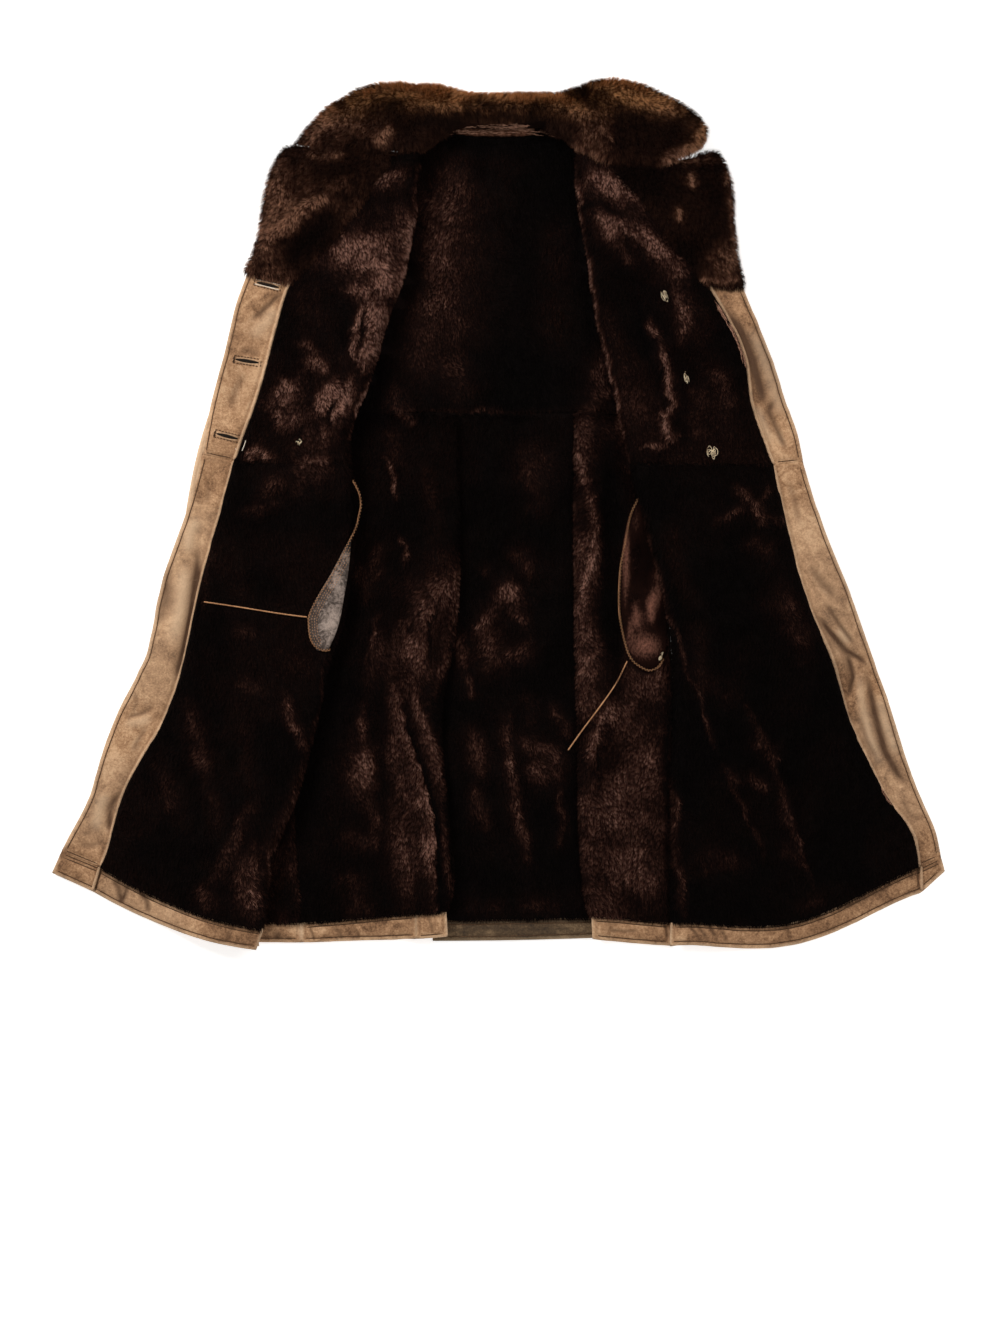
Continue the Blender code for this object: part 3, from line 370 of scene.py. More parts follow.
def nearest_on(x, y, points):
    """Nearest place of a chain: its distance in mm, its share of the way along, and if x, y is east of it."""
    nearest = np.full(np.shape(x), FAR)
    share = np.zeros(np.shape(x))
    east = np.zeros(np.shape(x), bool)
    count = len(points) - 1
    for place, ((ax, ay), (bx, by)) in enumerate(zip(points, points[1:])):
        run_x, run_y = bx - ax, by - ay
        along = np.clip(((x - ax) * run_x + (y - ay) * run_y) / (run_x**2 + run_y**2), 0, 1)
        away = np.hypot(x - ax - along * run_x, y - ay - along * run_y)
        closer = away < nearest
        nearest = np.where(closer, away, nearest)
        share = np.where(closer, (place + along) / count, share)
        east = np.where(closer, run_x * (y - ay) - run_y * (x - ax) > 0, east)
    return nearest, share, east


STEPS_BETWEEN = 12  # straight steps from one given place of a smooth curve to the next


def smooth_chain(points, spacing):
    """A smooth curve through the points, with a place every spacing mm."""
    points = np.asarray(points, float)
    before = np.vstack([2 * points[0] - points[1], points[:-1]])
    after = np.vstack([points[1:], 2 * points[-1] - points[-2]])
    slopes = (after - before) / 2
    t = np.linspace(0, 1, STEPS_BETWEEN + 1)[:-1, None]
    runs = []
    for start, end, from_slope, to_slope in zip(points, points[1:], slopes, slopes[1:]):
        runs.append(
            (2 * t**3 - 3 * t**2 + 1) * start
            + (t**3 - 2 * t**2 + t) * from_slope
            + (-2 * t**3 + 3 * t**2) * end
            + (t**3 - t**2) * to_slope
        )
    return even_chain(np.vstack([*runs, points[-1:]]), spacing)


def even_chain(points, spacing):
    """The same chain, with its places evenly spacing mm apart."""
    points = np.asarray(points, float)
    steps = np.linalg.norm(np.diff(points, axis=0), axis=1)
    reached = np.concatenate([[0.0], np.cumsum(steps)])
    count = max(2, int(round(reached[-1] / spacing)) + 1)
    at = np.linspace(0, reached[-1], count)
    return np.stack([np.interp(at, reached, points[:, axis]) for axis in range(points.shape[1])], axis=1)


def tangents(chain):
    """The way that a chain runs, at each of its places."""
    ahead = np.gradient(chain, axis=0)
    return ahead / (np.linalg.norm(ahead, axis=1)[:, None] + 1e-12)


def left_of(chain):
    """The way to the left of a chain that lies on the floor, at each of its places."""
    ahead = tangents(chain[:, :2])
    return np.stack([-ahead[:, 1], ahead[:, 0]], axis=1)


def read_table(kind, text):
    """Reads a table: a line with the names of pieces, then a row for each of their folds.

    A row has the numbers of its columns, then the x,y places of its chain in mm, which may go on in the next line.
    """
    rows = []
    for line in text.strip().splitlines():
        words = line.split()
        if words[0][0].isalpha():
            nodes = tuple(words)
            continue
        if "," not in words[0]:
            rows.append([nodes, *(float(word) for word in words if "," not in word), ()])
        rows[-1][-1] += tuple(tuple(float(part) for part in word.split(",")) for word in words if "," in word)
    return [kind(*row) for row in rows]


def link(obj):
    bpy.context.collection.objects.link(obj)
    return obj


def number_layer(mesh, name, values):
    """Gives each point of a mesh a number that its finish can read."""
    layer = mesh.attributes.get(name) or mesh.attributes.new(name, "FLOAT", "POINT")
    layer.data.foreach_set("value", np.ascontiguousarray(values, dtype=np.float32))


def numbers_of(items, field, width=1, kind=float):
    """One field of a mesh's vertices, edges or faces, as an array."""
    flat = np.empty(len(items) * width, dtype=kind)
    items.foreach_get(field, flat)
    return flat.reshape(-1, width) if width > 1 else flat


def set_points(mesh, points):
    """Moves the points of a mesh to places in mm."""
    mesh.vertices.foreach_set("co", np.ascontiguousarray(points * MM).ravel())
    mesh.update()


def bar_faces(count, sides):
    """The faces of a bar: its two ends, then its sides from ring to ring."""
    faces = [tuple(range(sides)), tuple(range((count - 1) * sides, count * sides))[::-1]]
    for start in range(0, (count - 1) * sides, sides):
        for side in range(sides):
            beside = (side + 1) % sides
            faces.append((start + side, start + sides + side, start + sides + beside, start + beside))
    return faces


def tree_of(shells):
    """The faces of several cloths together, to cast rays at."""
    points = []
    faces = []
    for shell in shells:
        start = len(points)
        points.extend(tuple(point) for point in shell.points)
        faces.extend(tuple(start + place for place in face.vertices) for face in shell.mesh.polygons)
    return BVHTree.FromPolygons(points, faces)


def height_at(tree, x, y):
    """The level of whatever lies highest at a place, or None beside it."""
    hit = tree.ray_cast(Vector((x, y, RAY_START)), DOWN)[0]
    return None if hit is None else hit.z


def lay_on(tree, chain, lift):
    """Lays a chain of x, y places on whatever lies highest there."""
    placed = [(x, y, height_at(tree, x, y)) for x, y in chain]
    return np.array([(x, y, z + lift) for x, y, z in placed if z is not None])


def middle_and_top(node):
    """The middle of a solid's box and its highest level, in mm."""
    low, high = (np.array(corner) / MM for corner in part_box(node))
    return (low + high) / 2, high[2]


class Gather:
    """Many small forms that become one piece."""

    def __init__(self):
        self.points = []
        self.faces = []

    def add(self, points, faces):
        start = len(self.points)
        self.points.extend(tuple(point) for point in points)
        self.faces.extend(tuple(start + place for place in face) for face in faces)

    def tube(self, path, radius, sides, flat=1.0, taper=0.35):
        """A round bar along a path, in mm. radius is one number or one for each point; flat squashes it."""
        path = np.asarray(path, float)
        radii = np.broadcast_to(np.asarray(radius, float), len(path)).copy()
        radii[[0, -1]] *= taper
        ahead = tangents(path)
        aside = np.cross(ahead, (0.0, 0.0, 1.0))
        aside[np.linalg.norm(aside, axis=1) < 1e-3] = (1.0, 0.0, 0.0)
        aside /= np.linalg.norm(aside, axis=1)[:, None]
        above = np.cross(aside, ahead)
        turns = 2 * np.pi * np.arange(sides)[None, :, None] / sides
        ring = np.cos(turns) * aside[:, None] + flat * np.sin(turns) * above[:, None]
        self.add((path[:, None] + ring * radii[:, None, None]).reshape(-1, 3), bar_faces(len(path), sides))

    def piece(self, name, finish, slot):
        """Makes one object of all the forms."""
        mesh = bpy.data.meshes.new(name)
        mesh.from_pydata([tuple(c * MM for c in point) for point in self.points], [], self.faces)
        mesh.materials.append(finish)
        mesh.shade_smooth()
        obj = link(bpy.data.objects.new(name, mesh))
        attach(obj, "root")
        return obj


# ---------------------------------------------------------------- pocket cords

Cord = namedtuple("Cord", "node far_end lay length route")
CORDS = [
    Cord(
        "pocket_cord_left",
        "object",
        "taut",
        0.130,
        (
            (-239.0, -129.0, 32.8), (-257.3, -126.7, 33.0), (-270.0, -125.0, 33.0), (-293.7, -121.3, 33.0),
            (-320.0, -117.0, 33.0), (-343.7, -113.4, 33.0), (-367.0, -110.0, 33.1),
        ),
    ),
    Cord(
        "pocket_cord_right",
        "bare",
        "loose",
        0.136,
        (
            (161.0, -184.0, 11.6), (156.4, -193.6, 11.6), (151.6, -203.3, 11.6), (148.0, -210.0, 12.0),
            (143.6, -217.1, 14.5), (138.6, -224.4, 18.6), (133.3, -231.7, 21.4), (128.0, -239.0, 21.9),
            (117.5, -253.1, 21.9), (107.0, -267.0, 21.9), (96.9, -281.0, 21.9), (87.0, -295.0, 21.9),
        ),
    ),
]
CORD_RADIUS = 0.95
CORD_STEP = 0.8
HALF_TWIST = 3.4  # mm of cord for half a turn of its two plies


def lay_cords():
    """Thin two-ply cords from the pocket bags."""
    sides = 8
    turns = 2 * np.pi * np.arange(sides) / sides
    for cord in CORDS:
        path = smooth_chain(cord.route, CORD_STEP)
        ahead = tangents(path)
        aside = np.cross(ahead, (0.0, 0.0, 1.0))
        above = np.cross(aside, ahead)
        twist = np.arange(len(path))[:, None] * CORD_STEP / HALF_TWIST * math.pi
        reach = CORD_RADIUS * (0.72 + 0.28 * np.abs(np.cos(turns - twist)))
        ring = np.cos(turns)[:, None] * aside[:, None] + np.sin(turns)[:, None] * above[:, None]
        twine = Gather()
        twine.add((path[:, None] + reach[..., None] * ring).reshape(-1, 3), bar_faces(len(path), sides))
        piece = twine.piece(cord.node + "_twist", FINISHES["thread"], "thread")
        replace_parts(piece, cord.node)


lay_cords()

# ---------------------------------------------------------------- cloth

Cloth = namedtuple("Cloth", "node finish width length area held rests_on")
CLOTHS = [
    # node, finish, cut width and length in mm, cut area in square metres, held, rests_on
    Cloth("back_upper", "fur_brown", 484, 360, 0.162, "laid", ()),
    Cloth("back_skirt_centre", "fur_brown", 217, 642, 0.134, "laid", ()),
    Cloth("back_skirt_left", "fur_brown", 208, 644, 0.128, "laid", ("back_skirt_centre",)),
    Cloth("back_skirt_right", "fur_brown", 152, 644, 0.085, "laid", ("back_skirt_centre",)),
    Cloth("side_piece_left", "fur_brown", 104, 254, 0.017, "laid", ()),
    Cloth("front_left_upper", "fur_brown", 261, 387, 0.084, "folded", ("back_upper", "sleeve_left")),
    Cloth("front_right_upper", "fur_brown", 287, 396, 0.098, "folded", ("back_upper", "sleeve_right")),
    Cloth("front_left_skirt", "fur_brown", 273, 584, 0.142, "folded", ("back_skirt_left",)),
    Cloth("front_right_skirt", "fur_brown", 344, 584, 0.154, "folded", ("back_skirt_right",)),
    Cloth("lapel_left", "fur_collar", 145, 176, 0.0194, "laid", ("front_left_upper",)),
    Cloth("lapel_right", "fur_collar", 152, 175, 0.0173, "laid", ("front_right_upper",)),
    Cloth("collar", "fur_collar", 515, 120, 0.0454, "folded", ("back_upper",)),
    Cloth("facing_left_upper", "leather_tan", 60, 245, 0.0135, "laid", ("front_left_upper",)),
    Cloth("facing_left_lower", "leather_tan", 54, 545, 0.0278, "laid", ("front_left_skirt",)),
    Cloth("facing_right_upper", "leather_tan", 46, 240, 0.0099, "laid", ("front_right_upper",)),
    Cloth("facing_right_lower", "leather_tan", 54, 540, 0.027, "laid", ("front_right_skirt",)),
    Cloth("hem_front_left", "leather_tan", 290, 36, 0.0094, "laid", ("front_left_skirt",)),
    Cloth("hem_front_left_under", "leather_tan", 48, 26, 0.0012, "laid", ("back_skirt_left",)),
    Cloth("hem_front_right", "leather_tan", 365, 35, 0.0117, "laid", ("front_right_skirt",)),
    Cloth("hem_side_left", "leather_tan", 101, 29, 0.0029, "laid", ("side_piece_left",)),
    Cloth("hem_back_left", "leather_tan", 148, 35, 0.0048, "laid", ("back_skirt_left",)),
    Cloth("hem_back_left_turn", "leather_tan", 43, 36, 0.0015, "laid", ("back_skirt_left",)),
    Cloth("hem_back_centre", "leather_dark", 214, 31, 0.0065, "laid", ("back_skirt_centre",)),
    Cloth("hem_back_right", "leather_tan", 104, 36, 0.0035, "laid", ("back_skirt_right",)),
    Cloth("neck_binding", "leather_tan", 118, 13, 0.0014, "laid", ("back_upper",)),
    Cloth("sleeve_left", "leather_tan", 277, 575, 0.121, "laid", ()),
    Cloth("sleeve_right", "leather_tan", 257, 575, 0.108, "laid", ()),
    Cloth("pocket_bag_left", "pocket_leather", 54, 165, 0.004, "laid", ("front_left_skirt",)),
    Cloth("pocket_bag_right", "pocket_suede", 63, 219, 0.0108, "laid", ("back_skirt_right",)),
]

# Troughs and ridges pressed into the cloth. Each has a width and a height in mm, below 0 for a trough,
# how strongly a trough is painted dark (soil and painted shade) and a ridge light (wear and painted highlight), and
# its chain.
Crease = namedtuple("Crease", "nodes width height soil points")
CREASES = read_table(
    Crease,
    """
facing_left_upper
  55 0 0.16 -310.6,267.5 -323.1,192.5 -340.6,105
  16 0 0.3 -366.9,55 -370.6,35
facing_left_lower
  60 0.01 0.24 -373.1,42.5 -385.6,-7.5 -403.1,-107.5 -435.6,-207.5 -460.6,-282.5
  50 0.01 0.2 -463.1,-282.5 -498.1,-357.5 -518.1,-432.5
hem_front_left
  40 0.01 0.2 -523.1,-457.5 -448.1,-488.8 -373.1,-515
sleeve_left
  30 0.01 0.6 -355.6,167.5 -378.1,105 -390.6,42.5 -398.1,-20
facing_left_lower
  18 0 0.26 -408.1,-82.5 -413.1,-122.5
  22 0 0.22 -448.1,-282.5 -463.1,-320 -475.6,-357.5
  12 0 0.3 -378.1,-57.5 -388.1,-157.5 -415.6,-220
facing_right_upper
  40 0 0.2 295.6,267.5 331.9,192.5 354.4,105
facing_right_lower
  60 0.01 0.2 371.9,42.5 391.9,-32.5 421.9,-132.5 451.9,-232.5
  50 0.01 0.2 451.9,-220 489.4,-320 534.4,-420
  14 0 0.3 401.9,-132.5 436.9,-185 441.9,-232.5
  14 0 0.26 459.4,-220 476.9,-282.5 506.9,-340
facing_left_upper
  5.61 -2.76 0.87 -268.1,278.8 -288.1,258.8 -310.6,238.8
  9 1.6 0 -273.1,260 -290.6,237.5 -310.6,217.5
  6.24 -1.15 0.39 -323.1,202.5 -310.6,202.5 -295.6,197.5
  7.48 -1.38 0.39 -315.6,177.5 -328.1,152.5 -335.6,127.5
facing_left_lower
  6.24 -1.38 0.39 -365.6,45 -360.6,27.5 -365.6,10
  7 2.4 0 -373.1,-2.5 -385.6,-25 -388.1,-52.5
  8.11 -3.91 1.1 -374.4,-30 -376.9,-76.2 -381.9,-126.2 -393.1,-176.2 -405.6,-217.5
  9 2 0 -390.6,-57.5 -394.4,-107.5 -408.1,-170
  11.2 -1.38 0.48 -410.6,-52.5 -415.6,-107.5 -425.6,-145
  4.99 -2.07 0.67 -428.1,-237.5 -445.6,-248.8 -470.6,-255
  4.99 -1.61 0.57 -455.6,-220 -453.1,-237.5 -460.6,-250
  6 1.6 0 -433.1,-252.5 -450.6,-260 -470.6,-262.5
  6.24 -1.72 0.57 -440.6,-262.5 -450.6,-282.5 -458.1,-300
  6.24 -2.76 0.96 -476.9,-347.5 -486.9,-367.5 -489.4,-402.5
  7 2 0 -490.6,-345 -500.6,-372.5 -505.6,-400
  6.24 -1.38 0.48 -493.1,-407.5 -508.1,-415 -528.1,-415
  6.24 -1.15 0.39 -500.6,-382.5 -513.1,-397.5 -523.1,-402.5
facing_right_upper
  8.73 -3.91 1.1 279.4,266.2 301.9,227.5 316.9,190 325.6,157.5 334.4,127.5
  6.24 -2.3 0.78 344.4,145 336.9,127.5 349.4,100 361.9,72.5
  9 2.2 0 309.4,240 329.4,197.5 344.4,152.5 356.9,112.5
  6 1.6 0 319.4,137.5 329.4,112.5 341.9,85
facing_right_lower
  7.48 -1.15 0.39 359.4,45 369.4,17.5 376.9,-20
  9.98 -1.61 0.57 384.4,-60 404.4,-87.5 424.4,-107.5
  5.61 -3.68 1.1 394.4,-120 411.9,-145 434.4,-170 451.9,-180 466.9,-192.5
  5.61 -2.07 0.78 404.4,-107.5 429.4,-142.5 449.4,-167.5
  5 2.2 0 421.9,-142.5 439.4,-162.5
  4.99 -3.22 0.96 435.6,-172.5 444.4,-202.5 436.9,-232.5
  6.86 -3.45 1 456.9,-182.5 465.6,-220 473.1,-255 484.4,-297.5 501.9,-327.5 519.4,-345
  6 2.4 0 451.9,-192.5 454.4,-232.5 464.4,-277.5 481.9,-320
  6 1.8 0 474.4,-220 484.4,-262.5 501.9,-307.5
  6.24 -1.61 0.57 449.4,-247.5 461.9,-285 476.9,-312.5
  6.24 -1.15 0.39 501.9,-352.5 514.4,-375 529.4,-385
hem_front_left
  1.8 -2.4 1.3 -496.9,-442.5 -501.9,-457.5 -506.9,-475
  6.5 -1.8 0.8 -485.6,-457.5 -475.6,-467.5 -474.4,-487.5
  5 -1.8 0.9 -465.6,-462.5 -468.1,-477.5 -475.6,-490
  5.5 -1.8 0.8 -453.1,-467.5 -440.6,-485 -438.1,-502.5
  4 -0.9 0.5 -328.1,-512.5 -338.1,-525 -340.6,-537.5
hem_front_right
  1.8 -2.4 1.3 525.6,-427.5 525.6,-450 526.9,-472.5
  3 -1.4 0.9 236.9,-515 246.9,-523.8 251.9,-535
  3 -1.4 0.9 248.1,-515 256.9,-525 261.9,-536.2
  3 -1.4 0.9 261.9,-515 269.4,-525 273.1,-536.2
  3 -1.2 0.8 274.4,-516.2 283.1,-527.5 286.9,-537.5
  5 -1 0.5 419.4,-497.5 451.9,-485 496.9,-465
hem_back_left
  3 -1 0.7 -238.1,-515 -233.1,-525 -230.6,-535
  4 -1 0.6 -210.6,-515 -198.1,-525 -195.6,-535
  3 -0.9 0.5 -183.1,-515 -175.6,-525 -175.6,-535
hem_side_left
  3 -1 0.8 -283.1,-515 -278.1,-525 -275.6,-535
  3 -1 0.8 -263.1,-515 -265.6,-527.5 -260.6,-535
hem_back_left_turn
  3 -1 0.6 -90.6,-497.5 -85.6,-510 -80.6,-525
hem_back_right
  4 -0.9 0.6 131.9,-520 156.9,-522.5 179.4,-521.2
  3 -0.8 0.6 206.9,-512.5 210.6,-522.5 211.9,-535
hem_back_centre
  5 -0.8 0.5 -48.1,-517.5 26.9,-520 101.9,-518.8
pocket_bag_right
  8 -1.6 0 176.9,-7.5 171.9,-70 164.4,-142.5
  6 1.6 0 195.6,-92.5 191.9,-115 186.9,-135
  5 1.4 0 178.1,-105 174.4,-127.5 169.4,-145
pocket_bag_left
  7 -1.2 0 -198.1,-112.5 -215.6,-130 -225.6,-145
  7 1.4 0 -205.6,-102.5 -215.6,-115
""",
)
